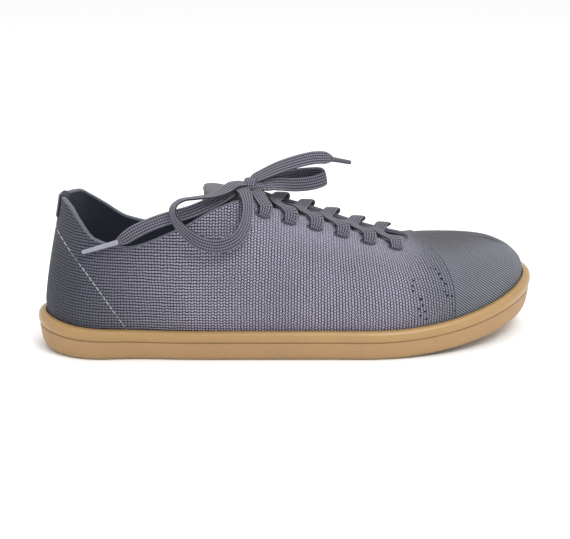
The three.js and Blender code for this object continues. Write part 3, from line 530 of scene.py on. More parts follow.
@dataclass
class Surface:
    """A mesh put together from grids of points."""

    name: str
    points: list[Array] = field(default_factory=list)
    quads: list[Array] = field(default_factory=list)
    marks: dict[str, list[Array]] = field(default_factory=dict)
    maps: list[Array] = field(default_factory=list)
    slots: list[Array] = field(default_factory=list)
    count: int = 0

    def grid(self, points: Array, uv: Array | None = None, marks: dict[str, Array] | None = None,
             around: bool = False, flip: bool = False, slot: int = 0) -> None:
        """Adds a grid of quads.

        Args:
            points: rows x columns x 3. Faces look out where rows go up and columns go right.
            uv: rows x columns x 2 for the UV map, in millimetres.
            marks: One value for each point, for each attribute's name.
            around: Whether the last column joins the first.
            flip: Whether the faces look the other way.
            slot: The material's number.
        """
        rows, columns = points.shape[:2]
        if around:
            points = np.concatenate([points, points[:, :1]], 1)
            marks = {k: np.concatenate([v, v[:, :1]], 1) for k, v in (marks or {}).items()}
            if uv is not None and uv.shape[1] == columns:
                uv = np.concatenate([uv, 2 * uv[:, -1:] - uv[:, -2:-1]], 1)
            columns += 1
        index = np.arange(rows * columns).reshape(rows, columns) + self.count
        a, b, c, d = index[:-1, :-1], index[:-1, 1:], index[1:, 1:], index[1:, :-1]
        order = (a, d, c, b) if flip else (a, b, c, d)
        quads = np.stack(order, -1).reshape(-1, 4)
        self.points.append(points.reshape(-1, 3))
        self.quads.append(quads)
        self.slots.append(np.full(len(quads), slot))
        self.maps.append(np.zeros((rows * columns, 2)) if uv is None else uv.reshape(-1, 2))
        for key, values in (marks or {}).items():
            self.marks.setdefault(key, [np.zeros(self.count)]).append(values.reshape(-1))
        self.count += rows * columns
        for key, values in self.marks.items():
            missing = self.count - sum(len(v) for v in values)
            if missing:
                values.append(np.zeros(missing))

    def build(self, materials: Sequence[bpy.types.Material], slot: str, *nodes: str,
              weld: float = 1e-4) -> bpy.types.Object:
        """Makes the object, gives it its materials and puts it on the shoe.

        Args:
            materials: The materials, by number.
            slot: The record's material slot; not used.
            nodes: The CAD nodes that it stands for.
            weld: Points closer than this are made one, in millimetres.

        Returns:
            The object.
        """
        points = np.concatenate(self.points)
        quads = np.concatenate(self.quads)
        cell = np.round(points / max(weld, 1e-6)).astype(np.int64)
        _, first, same = np.unique(cell, axis=0, return_index=True, return_inverse=True)
        same = same.reshape(-1)
        faces = same[quads]
        corner = faces != np.roll(faces, 1, axis=1)
        size = corner.sum(1)
        crossed = (faces[:, 0] == faces[:, 2]) | (faces[:, 1] == faces[:, 3])
        keep = (size >= 3) & ~crossed
        faces, raw, corner, size = faces[keep], quads[keep], corner[keep], size[keep]
        mesh = bpy.data.meshes.new(self.name)
        mesh.vertices.add(len(first))
        mesh.vertices.foreach_set("co", (points[first] * METRE).astype(np.float32).reshape(-1))
        mesh.loops.add(int(size.sum()))
        mesh.loops.foreach_set("vertex_index", faces[corner].astype(np.int32))
        mesh.polygons.add(len(faces))
        starts = np.concatenate([[0], np.cumsum(size)[:-1]])
        mesh.polygons.foreach_set("loop_start", starts.astype(np.int32))
        mesh.polygons.foreach_set("material_index", np.concatenate(self.slots)[keep].astype(np.int32))
        mesh.polygons.foreach_set("use_smooth", np.ones(len(faces), dtype=bool))
        uv_layer = mesh.uv_layers.new(name="cloth")
        uv_layer.data.foreach_set("uv", np.concatenate(self.maps)[raw[corner]].astype(np.float32).reshape(-1))
        for key, values in self.marks.items():
            data = np.concatenate(values)[first].astype(np.float32)
            mesh.attributes.new(key, "FLOAT", "POINT").data.foreach_set("value", data)
        mesh.update(calc_edges=True)
        mesh.validate()
        piece = bpy.data.objects.new(self.name, mesh)
        bpy.context.scene.collection.objects.link(piece)
        for material in materials:
            mesh.materials.append(material)
        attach(piece, BODY)
        if nodes:
            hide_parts(*nodes)
        LOG.info("%s: %d faces", self.name, len(faces))
        return piece


def strip_across(ring: Array, count: int) -> Array:
    """Lays lines of points across a closed ring, from its lateral half to its medial half.

    Args:
        ring: The ring's points, from the heel round the lateral side.
        count: How many lines.

    Returns:
        count x half the ring's points x 3.
    """
    half = len(ring) // 2
    lateral = ring[:half + 1]
    medial = np.concatenate([ring[:1], ring[:half - 1:-1]])
    share = np.linspace(0, 1, count)[:, None, None]
    return lateral[None] + (medial - lateral)[None] * share


def paired(first: Array, second: Array) -> Array:
    """Puts two arrays of numbers side by side, as for a UV map.

    Args:
        first: The first numbers.
        second: The second ones, of a shape that goes with the first.

    Returns:
        The common shape x 2.
    """
    return np.stack(np.broadcast_arrays(first, second), -1)


def circle(count: int) -> Array:
    """Angles once round, without the last one.

    Args:
        count: How many.

    Returns:
        The angles in radians.
    """
    return np.linspace(0, 2 * np.pi, count, endpoint=False)


def run_length(points: Array, axis: int) -> Array:
    """The distance run along one axis of a grid of points, from 0.

    Args:
        points: The points.
        axis: The axis to run along.

    Returns:
        The distances, of the grid's shape.
    """
    steps = np.linalg.norm(np.diff(points, axis=axis), axis=-1)
    pad = [(0, 0)] * steps.ndim
    pad[axis] = (1, 0)
    return np.cumsum(np.pad(steps, pad), axis=axis)


@dataclass(frozen=True)
class Graph:
    """Places and joins nodes in one tree."""

    tree: bpy.types.NodeTree

    def put(self, socket: bpy.types.NodeSocket, value: Any) -> None:
        """Links a socket to another one, or sets its value.

        Args:
            socket: The socket.
            value: Another socket, a number or a colour.
        """
        if isinstance(value, bpy.types.NodeSocket):
            self.tree.links.new(value, socket)
        elif isinstance(value, tuple) and len(value) == 3 and socket.type == "RGBA":
            socket.default_value = (*value, 1.0)
        else:
            socket.default_value = value

    def node(self, kind: str, inputs: dict[Any, Any] | None = None, **settings: Any) -> bpy.types.Node:
        """Adds a node.

        Args:
            kind: The node's type.
            inputs: What goes into its sockets, by name or number.
            settings: Its settings.

        Returns:
            The node.
        """
        made = self.tree.nodes.new(kind)
        for key, value in settings.items():
            setattr(made, key, value)
        for key, value in (inputs or {}).items():
            self.put(made.inputs[key], value)
        return made

    def math(self, operation: str, a: Any, b: Any = None) -> bpy.types.NodeSocket:
        """Works out one step.

        Args:
            operation: The Math node's operation.
            a: Its first value.
            b: Its second one, if it has two.

        Returns:
            The result.
        """
        inputs = {0: a} if b is None else {0: a, 1: b}
        return self.node("ShaderNodeMath", inputs, operation=operation).outputs[0]

    def mix(self, share: Any, a: Any, b: Any) -> bpy.types.NodeSocket:
        """Mixes two colours.

        Args:
            share: How much of the second.
            a: The first colour.
            b: The second one.

        Returns:
            The mixed colour.
        """
        made = self.node("ShaderNodeMix", data_type="RGBA")
        self.put(made.inputs[0], share)
        self.put(made.inputs[6], a)
        self.put(made.inputs[7], b)
        return made.outputs[2]

    def remap(self, value: Any, low: float, high: float, to_low: float = 0.0, to_high: float = 1.0
              ) -> bpy.types.NodeSocket:
        """Eases a range of values to another, held at the ends.

        Args:
            value: The value.
            low: What goes to to_low.
            high: What goes to to_high.
            to_low: The result's first end.
            to_high: Its other end.

        Returns:
            The result.
        """
        inputs = {"Value": value, "From Min": low, "From Max": high, "To Min": to_low, "To Max": to_high}
        return self.node("ShaderNodeMapRange", inputs, interpolation_type="SMOOTHSTEP").outputs["Result"]

    def mark(self, name: str) -> bpy.types.NodeSocket:
        """Reads an attribute of the mesh.

        Args:
            name: The attribute's name.

        Returns:
            Its value.
        """
        return self.node("ShaderNodeAttribute", attribute_name=name).outputs["Fac"]

    def cloth_map(self) -> bpy.types.NodeSocket:
        """The piece's own UV map, in millimetres."""
        return self.node("ShaderNodeUVMap", uv_map="cloth").outputs["UV"]

    def where(self) -> bpy.types.NodeSocket:
        """Object coordinates, in metres."""
        return self.node("ShaderNodeTexCoord").outputs["Object"]

    def noise(self, scale: float, detail: float = 2.0, vector: Any = None, roughness: float = 0.55
              ) -> bpy.types.NodeSocket:
        """Adds noise by Object coordinates, unless another vector is given.

        Args:
            scale: The noise's scale.
            detail: Its finer layers.
            vector: What it runs over.
            roughness: How strong the finer layers are.

        Returns:
            The noise, about 0.5.
        """
        inputs = {"Vector": vector or self.where(), "Scale": scale, "Detail": detail, "Roughness": roughness}
        return self.node("ShaderNodeTexNoise", inputs).outputs["Fac"]

    def group(self, tree: bpy.types.NodeTree, inputs: dict[str, Any]) -> bpy.types.Node:
        """Places a shared effect.

        Args:
            tree: The effect.
            inputs: What goes into it, by name.

        Returns:
            The group's node.
        """
        made = self.node("ShaderNodeGroup", node_tree=tree)
        for key, value in inputs.items():
            self.put(made.inputs[key], value)
        return made


def new_group(name: str, inputs: Sequence[tuple[str, str]], outputs: Sequence[tuple[str, str]]
              ) -> tuple[Graph, bpy.types.Node, bpy.types.Node]:
    """Starts a shader node group.

    Args:
        name: The group's name.
        inputs: Each input's name and kind.
        outputs: Each output's name and kind.

    Returns:
        The graph, its input node and its output node.
    """
    tree = bpy.data.node_groups.new(name, "ShaderNodeTree")
    for key, kind in inputs:
        tree.interface.new_socket(name=key, in_out="INPUT", socket_type=f"NodeSocket{kind}")
    for key, kind in outputs:
        tree.interface.new_socket(name=key, in_out="OUTPUT", socket_type=f"NodeSocket{kind}")
    return Graph(tree), tree.nodes.new("NodeGroupInput"), tree.nodes.new("NodeGroupOutput")


def knit_group() -> bpy.types.NodeTree:
    """Knitted stitches: rows of dashes where Rows is 1, and chains of V stitches where it is 0.

    Across a column, a runs from 0 in its middle to 1 at its sides. The courses' wave is
    sin(pi fract(y + slant a)), with y counted in courses, and the columns' is 1 - a^3. Each is
    softened where the other one leads, and the height is their product.

    Returns:
        The group.
    """
    g, source, sink = new_group(
        "knit", [("Vector", "Vector"), ("Wale", "Float"), ("Course", "Float"), ("Rows", "Float"),
                 ("Wander", "Float")], [("Height", "Float")])
    vector, wale, course = source.outputs["Vector"], source.outputs["Wale"], source.outputs["Course"]
    rows = source.outputs["Rows"]
    chains = g.math("SUBTRACT", 1.0, rows)
    wobble = g.math("MULTIPLY", g.math("SUBTRACT", g.noise(0.22, 2.0, vector), 0.5), source.outputs["Wander"])
    split = g.node("ShaderNodeSeparateXYZ", {0: vector})
    x = g.math("ADD", g.math("DIVIDE", split.outputs[0], wale), wobble)
    y = g.math("ADD", g.math("DIVIDE", split.outputs[1], course), wobble)
    odd = g.math("FLOORED_MODULO", g.math("FLOOR", x), 2.0)
    shift = g.math("MULTIPLY", g.math("MULTIPLY", odd, 0.5), chains)
    a = g.math("MULTIPLY", g.math("ABSOLUTE", g.math("SUBTRACT", g.math("FRACT", x), 0.5)), 2.0)
    slant = g.math("MULTIPLY", a, g.math("MULTIPLY", chains, 0.55))
    leg = g.math("FRACT", g.math("ADD", g.math("ADD", y, slant), shift))
    bulge = g.math("POWER", g.math("SINE", g.math("MULTIPLY", leg, math.pi)), 0.9)
    column = g.math("SUBTRACT", 1.0, g.math("POWER", a, 3.0))

    def soften(value: Any, share: Any) -> bpy.types.NodeSocket:
        """Lifts a wave's troughs: value (1 - share) + share."""
        return g.math("ADD", g.math("MULTIPLY", value, g.math("SUBTRACT", 1.0, share)), share)

    bulge = soften(bulge, g.math("MULTIPLY", chains, 0.3))
    column = soften(column, g.math("MULTIPLY", rows, 0.4))
    g.put(sink.inputs["Height"], g.math("MULTIPLY", bulge, column))
    return g.tree


def weave_group() -> bpy.types.NodeTree:
    """Woven threads: the product of two sets of sine ridges, lower at every other crossing.

    Returns:
        The group.
    """
    g, source, sink = new_group(
        "weave", [("Vector", "Vector"), ("Warp", "Float"), ("Weft", "Float")], [("Height", "Float")])
    split = g.node("ShaderNodeSeparateXYZ", {0: source.outputs["Vector"]})

    def wave(value: Any, pitch: Any) -> bpy.types.NodeSocket:
        """One set of ridges: sin(pi value / pitch)."""
        turns = g.math("MULTIPLY", g.math("DIVIDE", value, pitch), math.pi)
        return g.math("SINE", turns)

    x, y = wave(split.outputs[0], source.outputs["Warp"]), wave(split.outputs[1], source.outputs["Weft"])
    over = g.math("MULTIPLY", x, y)
    ridge = g.math("MULTIPLY", g.math("ABSOLUTE", x), g.math("ABSOLUTE", y))
    lifted = g.math("ADD", g.math("MULTIPLY", over, 0.5), 0.5)
    height = g.math("MULTIPLY", g.math("POWER", ridge, 0.6), g.remap(lifted, 0.0, 1.0, 0.6, 1.0))
    g.put(sink.inputs["Height"], height)
    return g.tree


def wear_group() -> bpy.types.NodeTree:
    """Slow changes of shade and a fine grain, for an uneven surface.

    Returns:
        The group.
    """
    g, source, sink = new_group("wear", [("Colour", "Color"), ("Strength", "Float")], [("Colour", "Color")])
    slow = g.remap(g.noise(28.0, 3.0), 0.3, 0.7, -1.0, 1.0)
    fine = g.remap(g.noise(420.0, 2.0), 0.25, 0.75, -0.5, 0.5)
    shade = g.math("ADD", 1.0, g.math("MULTIPLY", g.math("ADD", slow, fine), source.outputs["Strength"]))
    value = g.node("ShaderNodeHueSaturation", {"Value": shade, "Color": source.outputs["Colour"]})
    g.put(sink.inputs["Colour"], value.outputs["Color"])
    return g.tree


@dataclass
class Effects:
    """The effects that the materials share."""

    knit: bpy.types.NodeTree = field(default_factory=knit_group)
    weave: bpy.types.NodeTree = field(default_factory=weave_group)
    wear: bpy.types.NodeTree = field(default_factory=wear_group)


def start_material(name: str, **values: float) -> tuple[Graph, bpy.types.Node]:
    """Starts a material with its constant values on the shader's own sockets.

    Args:
        name: The material's name.
        values: The shader's sockets, with _ for a space.

    Returns:
        The graph and the shader.
    """
    material = bpy.data.materials.new(name)
    material.use_nodes = True
    shader = material.node_tree.nodes["Principled BSDF"]
    for key, value in values.items():
        shader.inputs[key.replace("_", " ")].default_value = value
    return Graph(material.node_tree), shader


def finish_material(g: Graph, shader: bpy.types.Node, colour: Any, height: Any, depth: float,
                    roughness: Any = None) -> bpy.types.Material:
    """Joins colour, bump and roughness to the shader.

    Args:
        g: The material's graph.
        shader: Its shader.
        colour: The base colour.
        height: The bump's height, from 0 to 1.
        depth: What a height of 1 stands for, in millimetres.
        roughness: The roughness, if it changes over the surface.

    Returns:
        The material.
    """
    g.put(shader.inputs["Base Color"], colour)
    if roughness is not None:
        g.put(shader.inputs["Roughness"], roughness)
    bump = g.node("ShaderNodeBump", {"Height": height, "Distance": depth * METRE, "Strength": 1.0})
    g.put(shader.inputs["Normal"], bump.outputs["Normal"])
    return next(m for m in bpy.data.materials if m.node_tree == g.tree)


def worn(g: Graph, effects: Effects, colour: Any, strength: float) -> bpy.types.NodeSocket:
    """Makes a colour uneven.

    Args:
        g: The material's graph.
        effects: The shared effects.
        colour: The colour.
        strength: How uneven.

    Returns:
        The uneven colour.
    """
    return g.group(effects.wear, {"Colour": colour, "Strength": strength}).outputs["Colour"]


@dataclass(frozen=True)
class KnitFinish:
    """The upper's coarse knit: light yarn over dark gaps, with its seams, and painted shade that darkens the
    yarn towards the heel.
    """

    yarn: tuple[float, float, float] = (0.325, 0.302, 0.385)
    gap: tuple[float, float, float] = (0.006, 0.007, 0.016)
    # painted shade: the yarn towards the heel, darker where less light falls, and also a greener tint of the
    # yarn there
    heel_shaded_yarn: tuple[float, float, float] = (0.052, 0.058, 0.077)
    toe_yarn: tuple[float, float, float] = (0.178, 0.188, 0.222)
    top_yarn: tuple[float, float, float] = (0.074, 0.073, 0.079)
    thread: tuple[float, float, float] = (0.4, 0.42, 0.47)
    heel_seam_shade: tuple[float, float, float] = (0.02, 0.022, 0.03)
    front_seam_shade: tuple[float, float, float] = (0.04, 0.043, 0.06)
    wale: float = 1.62  # millimetres
    course: float = 1.62
    toe_pitch: float = 1.6
    toe_slope: float = 0.95
    rows_span: tuple[float, float] = (-70.0, -150.0)  # millimetres in front of the front seam
    toe_span: tuple[float, float] = (-40.0, 10.0)
    top_span: tuple[float, float] = (-12.0, 12.0)
    throat_span: tuple[float, float] = (-110.0, -70.0)
    top_rise: tuple[float, float] = (0.5, 0.95)
    throat_rise: tuple[float, float] = (0.6, 0.95)
    heel_shade_span: tuple[float, float] = (-0.04, -0.138)  # metres along X, over which the painted shade towards the heel grows
    top_calm: float = 0.8  # how far the stitches give way to fine specks
    throat_calm: float = 0.6
    stitch: float = 3.1  # millimetres from one stitch of the heel's seam to the next
    uneven: float = 0.08
    relief: float = 0.45  # millimetres

    def build(self, effects: Effects) -> bpy.types.Material:
        """Makes the material: rows at the rear, chains in the middle and slanting lines at the toe.

        Args:
            effects: The shared effects.

        Returns:
            The material.
        """
        g, shader = start_material("knit", Roughness=0.92, Sheen_Weight=0.1, Sheen_Roughness=0.5)
        uv = g.cloth_map()
        seam_distance = g.mark("front_seam")
        rise = g.mark("rise")
        front = g.remap(seam_distance, -0.4, 0.4)
        rear = g.remap(seam_distance, *self.rows_span)
        stitches = g.group(effects.knit, {"Vector": uv, "Wale": self.wale, "Course": self.course,
                                          "Rows": rear, "Wander": 0.7}).outputs["Height"]
        split = g.node("ShaderNodeSeparateXYZ", {0: uv})
        diagonal = g.math("ADD", g.math("MULTIPLY", split.outputs[0], self.toe_slope), split.outputs[1])
        lines = g.math("ABSOLUTE", g.math("SINE", g.math("MULTIPLY", diagonal, math.pi / self.toe_pitch)))
        height = g.node("ShaderNodeMix", {0: front, 2: stitches, 3: lines}).outputs[0]
        place = g.node("ShaderNodeSeparateXYZ", {0: g.where()}).outputs[0]
        # painted shade: the yarn darkens towards the heel
        heel = g.remap(place, *self.heel_shade_span)
        yarn = g.mix(heel, self.yarn, self.heel_shaded_yarn)
        toe = g.remap(seam_distance, *self.toe_span)
        yarn = g.mix(toe, yarn, self.toe_yarn)
        top = g.math("MULTIPLY", g.remap(rise, *self.top_rise), g.remap(seam_distance, *self.top_span))
        yarn = g.mix(top, yarn, self.top_yarn)
        throat = g.remap(seam_distance, *self.throat_span)
        throat = g.math("MULTIPLY", g.remap(rise, *self.throat_rise), throat)
        throat = g.math("MULTIPLY", throat, self.throat_calm)
        calm = g.math("MAXIMUM", throat, g.math("MULTIPLY", top, self.top_calm))
        speckle = g.remap(g.noise(1100.0, 1.0), 0.3, 0.7, 0.45, 1.0)
        contrast = g.remap(height, 0.3, 0.9)
        contrast = g.node("ShaderNodeMix", {0: calm, 2: contrast, 3: speckle}).outputs[0]
        colour = g.mix(contrast, self.gap, yarn)
        seam = g.math("ABSOLUTE", g.mark("heel_seam"))
        run = g.math("FRACT", g.math("DIVIDE", g.mark("heel_run"), self.stitch))
        stitch = g.math("MULTIPLY", g.remap(seam, 0.42, 0.18), g.remap(run, 0.08, 0.16))
        stitch = g.math("MULTIPLY", stitch, g.math("SUBTRACT", 1.0, g.remap(run, 0.84, 0.94)))
        stitch = g.math("MULTIPLY", stitch, g.remap(g.noise(150.0, 1.0), 0.38, 0.5, 0.35, 1.0))
        colour = g.mix(g.remap(seam, 1.0, 0.4, 0.0, 0.55), colour, self.heel_seam_shade)
        colour = g.mix(stitch, colour, self.thread)
        edge = g.remap(g.math("ABSOLUTE", seam_distance), 0.8, 0.2, 0.0, 0.4)
        colour = worn(g, effects, g.mix(edge, colour, self.front_seam_shade), self.uneven)
        height = g.math("ADD", height, g.math("MULTIPLY", stitch, 0.8))
        return finish_material(g, shader, colour, height, self.relief)


@dataclass(frozen=True)
class WovenFinish:
    """A woven cloth."""

    name: str
    colour: tuple[float, float, float]
    dark: tuple[float, float, float]
    warp: float  # millimetres from thread to thread
    weft: float
    depth: float  # of the threads' relief, in millimetres
    roughness: float = 0.9
    sheen: float = 0.1
    uneven: float = 0.1

    def build(self, effects: Effects) -> bpy.types.Material:
        """Makes the material.

        Args:
            effects: The shared effects.

        Returns:
            The material.
        """
        g, shader = start_material(self.name, Roughness=self.roughness, Sheen_Weight=self.sheen)
        height = g.group(effects.weave, {"Vector": g.cloth_map(), "Warp": self.warp, "Weft": self.weft})
        height = height.outputs["Height"]
        colour = g.mix(g.remap(height, 0.1, 0.7), self.dark, self.colour)
        colour = worn(g, effects, colour, self.uneven)
        return finish_material(g, shader, colour, height, self.depth)


@dataclass(frozen=True)
class LaceFinish:
    """The flat lace: dark lengthwise ribs between rows of lighter picks."""

    light: tuple[float, float, float] = (0.15, 0.143, 0.188)
    dark: tuple[float, float, float] = (0.006, 0.006, 0.012)
    ribs: float = 5.0
    width: float = 8.0
    pick: float = 1.35
    uneven: float = 0.08
    relief: float = 0.35  # millimetres

    def build(self, effects: Effects) -> bpy.types.Material:
        """Makes the material. The UV map runs across the lace in its first number.

        Args:
            effects: The shared effects.

        Returns:
            The material.
        """
        g, shader = start_material("lace", Roughness=0.85, Sheen_Weight=0.15)
        split = g.node("ShaderNodeSeparateXYZ", {0: g.cloth_map()})
        rib = g.math("MULTIPLY", g.math("DIVIDE", split.outputs[0], self.width / self.ribs), math.pi)
        rib = g.math("ABSOLUTE", g.math("SINE", rib))
        picks = g.math("MULTIPLY", g.math("DIVIDE", split.outputs[1], self.pick), math.pi)
        picks = g.math("ABSOLUTE", g.math("SINE", picks))
        height = g.math("MULTIPLY", g.math("POWER", rib, 0.6), g.remap(picks, 0.0, 0.8, 0.55, 1.0))
        colour = g.mix(g.remap(height, 0.42, 0.92), self.dark, self.light)
        colour = worn(g, effects, colour, self.uneven)
        return finish_material(g, shader, colour, height, self.relief)


@dataclass(frozen=True)
class GumFinish:
    """The sole's gum rubber: a matt wall, and a yellower, glossier lip, with painted shade in the groove and
    along the foot of the wall.
    """

    wall: tuple[float, float, float] = (0.34, 0.205, 0.09)
    lip: tuple[float, float, float] = (0.34, 0.206, 0.079)
    # painted shade along the groove in the wall
    groove_shade: tuple[float, float, float] = (0.17, 0.09, 0.035)
    # painted shade along the foot of the wall, which faces down
    foot: tuple[float, float, float] = (0.24, 0.15, 0.08)
    speck: tuple[float, float, float] = (0.25, 0.15, 0.07)
    groove_height: float = 0.64  # share of the side
    uneven: float = 0.05
    relief: float = 0.08  # millimetres

    def build(self, effects: Effects) -> bpy.types.Material:
        """Makes the material.

        Args:
            effects: The shared effects.

        Returns:
            The material.
        """
        g, shader = start_material("gum", Coat_Roughness=0.35)
        up = g.mark("side_height")
        lip = g.remap(up, 0.62, 0.7)
        colour = g.mix(lip, self.wall, self.lip)
        # painted shade: a darker line at the groove's height
        line = g.remap(g.math("ABSOLUTE", g.math("SUBTRACT", up, self.groove_height)), 0.035, 0.008)
        colour = g.mix(g.math("MULTIPLY", line, 0.35), colour, self.groove_shade)
        # painted shade: the wall darkens towards its foot
        colour = g.mix(g.remap(up, 0.12, 0.0, 0.0, 0.3), colour, self.foot)
        specks = g.remap(g.noise(900.0, 2.0), 0.62, 0.75, 0.0, 0.12)
        colour = worn(g, effects, g.mix(specks, colour, self.speck), self.uneven)
        roughness = g.remap(g.noise(60.0, 3.0), 0.3, 0.7, 0.52, 0.62)
        roughness = g.math("ADD", g.math("MULTIPLY", lip, -0.24), roughness)
        height = g.math("ADD", g.noise(700.0, 3.0), g.math("MULTIPLY", g.noise(90.0), 0.8))
        return finish_material(g, shader, colour, height, self.relief, roughness)


@dataclass(frozen=True)
class PlainFinish:
    """A moulded or filmed piece with a fine grain."""

    name: str
    colour: tuple[float, float, float]
    roughness: float
    coat: float = 0.0
    see_through: float = 0.0
    uneven: float = 0.08
    relief: float = 0.05  # millimetres

    def build(self, effects: Effects) -> bpy.types.Material:
        """Makes the material.

        Args:
            effects: The shared effects.

        Returns:
            The material.
        """
        g, shader = start_material(self.name, Roughness=self.roughness, Coat_Weight=self.coat,
                                   Transmission_Weight=self.see_through, IOR=1.45)
        colour = worn(g, effects, self.colour, self.uneven)
        return finish_material(g, shader, colour, g.noise(900.0, 2.0), self.relief)


@dataclass(frozen=True)
class Lamp:
    """A square area light."""

    name: str
    place: tuple[float, float, float]  # metres
    aim: tuple[float, float, float]
    size: float
    power: float  # watts


LAMPS = (
    Lamp("key", (0.35, -0.75, 1.05), (0.02, 0.0, 0.03), 0.5, 7.5),
    Lamp("top", (0.1, 0.1, 1.2), (0.0, 0.0, 0.0), 0.8, 4.0),
)


@dataclass
class Studio:
    """The camera at the photo's angle, the pale floor and the soft lights."""

    distance: float = 704.0  # of the camera, level, in millimetres
    height: float = 248.0
    offset: float = -3.3
    yaw: float = 6.0
    pitch: float = 16.56
    focal_pixels: float = 1285.0
    image_width: float = 570.0
    sensor: float = 36.0
    floor_reach: float = 9.0  # metres
    floor_front: float = -3.0
    floor_shade: float = 0.96
    sky: float = 0.98

    def camera(self) -> None:
        """Places the camera."""
        data = bpy.data.cameras.new("camera")
        data.sensor_width = self.sensor
        data.sensor_fit = "HORIZONTAL"
        data.lens = self.focal_pixels / self.image_width * self.sensor
        data.clip_start = 0.01
        made = bpy.data.objects.new("camera", data)
        yaw = math.radians(self.yaw)
        made.location = ((self.offset - self.distance * math.sin(yaw)) * METRE,
                         -self.distance * math.cos(yaw) * METRE, self.height * METRE)
        made.rotation_euler = (math.radians(90 - self.pitch), 0.0, -yaw)
        bpy.context.scene.collection.objects.link(made)
        bpy.context.scene.camera = made

    def floor(self) -> None:
        """Lays a level floor that fills the view."""
        x = np.linspace(-self.floor_reach, self.floor_reach, 9)
        y = np.linspace(self.floor_front, self.floor_reach, 9)
        points = np.stack(np.broadcast_arrays(x[None], y[:, None], 0.0), -1)
        rows, columns = points.shape[:2]
        index = np.arange(rows * columns).reshape(rows, columns)
        quads = np.stack([index[:-1, :-1], index[:-1, 1:], index[1:, 1:], index[1:, :-1]], -1).reshape(-1, 4)
        mesh = bpy.data.meshes.new("floor")
        mesh.from_pydata(points.reshape(-1, 3).tolist(), [], quads.tolist())
        mesh.polygons.foreach_set("use_smooth", np.ones(len(mesh.polygons), dtype=bool))
        made = bpy.data.objects.new("floor", mesh)
        bpy.context.scene.collection.objects.link(made)
        material = bpy.data.materials.new("floor")
        material.use_nodes = True
        shader = material.node_tree.nodes["Principled BSDF"]
        shader.inputs["Base Color"].default_value = (*[self.floor_shade] * 3, 1)
        shader.inputs["Roughness"].default_value = 0.9
        shader.inputs["Specular IOR Level"].default_value = 0.2
        mesh.materials.append(material)

    def lights(self) -> None:
        """Hangs soft area lights and sets an even pale world."""
        world = bpy.data.worlds.new("world")
        world.use_nodes = True
        background = world.node_tree.nodes["Background"]
        background.inputs["Color"].default_value = (1.0, 1.0, 1.0, 1)
        background.inputs["Strength"].default_value = self.sky
        bpy.context.scene.world = world
        bpy.context.scene.view_settings.view_transform = "Standard"
        for lamp in LAMPS:
            data = bpy.data.lights.new(lamp.name, "AREA")
            data.shape, data.size, data.energy = "SQUARE", lamp.size, lamp.power
            made = bpy.data.objects.new(lamp.name, data)
            made.location = lamp.place
            way = np.array(lamp.aim) - np.array(lamp.place)
            flat = math.hypot(way[0], way[1])
            made.rotation_euler = (math.atan2(flat, -way[2]), 0.0, math.atan2(-way[0], way[1]))
            bpy.context.scene.collection.objects.link(made)


@dataclass
class Sole:
    """The gum cup sole."""

    columns: int = 420
    strips: int = 25
    arch_depth: float = 1.2
    arch_start: float = 0.3  # shares of the length
    arch_length: float = 0.24
    rings: Array = field(default_factory=lambda: np.array([  # height, inset; shares of the side and the lip
        (0.0, 1.15), (0.012, 0.9), (0.045, 0.66), (0.15, 0.42), (0.38, 0.24), (0.585, 0.15), (0.612, 0.17),
        (0.632, 0.27), (0.648, 0.27), (0.668, 0.13), (0.7, 0.08), (0.8, 0.0), (0.9, 0.06), (0.96, 0.22),
        (0.99, 0.42), (1.0, 0.6), (1.0, 0.93)]))

    def build(self, material: bpy.types.Material) -> None:
        """Makes the side, the cup's inside and the tread.

        Ring k lies inset(k) lip widths inside the plan's edge, at height(k) of the side's height.

        Args:
            material: The gum.
        """
        surface = Surface("cup_sole")
        turns = np.arange(self.columns) * 2 / self.columns
        along = LAST.along(turns)
        t = np.linspace(0, 1, len(self.rings))
        dense = np.linspace(0, 1, 3 * len(self.rings))
        keyed = np.column_stack([t, self.rings])
        height, inset = follow(keyed, 1, dense), follow(keyed, 2, dense)
        rows = [LAST.inset(turns, np.full_like(turns, i * LAST.lip)) for i in inset]
        side = np.stack(rows)
        side[..., 2] = LAST.ground(along) + height[:, None] * LAST.side(along)
        marks = {"side_height": np.broadcast_to(height[:, None], side.shape[:2]).copy()}
        surface.grid(side, marks=marks, around=True)
        floor = LAST.inset(turns, np.full_like(turns, LAST.lip + LAST.gap))
        floor[..., 2] = LAST.ground(along) + LAST.foot_bed
        cup = np.stack([side[-1], floor])
        surface.grid(cup, marks={"side_height": np.ones(cup.shape[:2])}, around=True)
        for ring, is_tread in ((side[0], True), (floor, False)):
            self.close(surface, ring, is_tread)
        surface.build([material], "gum", "outsole")

    def close(self, surface: Surface, ring: Array, is_tread: bool) -> None:
        """Closes a ring from side to side. The tread rises under the arch.

        Args:
            surface: The sole.
            ring: The ring.
            is_tread: Whether it is the tread rather than the cup's floor.
        """
        strip = strip_across(ring, self.strips)
        if is_tread:
            share = np.linspace(0, 1, self.strips)[:, None]
            along = (strip[..., 0] / LAST.length + 0.5)
            span = np.clip((along - self.arch_start) / self.arch_length, 0, 1)
            arch = self.arch_depth * np.sin(np.pi * span) ** 2 * np.sin(np.pi * share ** 2) ** 2
            strip[..., 2] += arch
        surface.grid(strip, marks={"side_height": np.zeros(strip.shape[:2])}, flip=not is_tread)


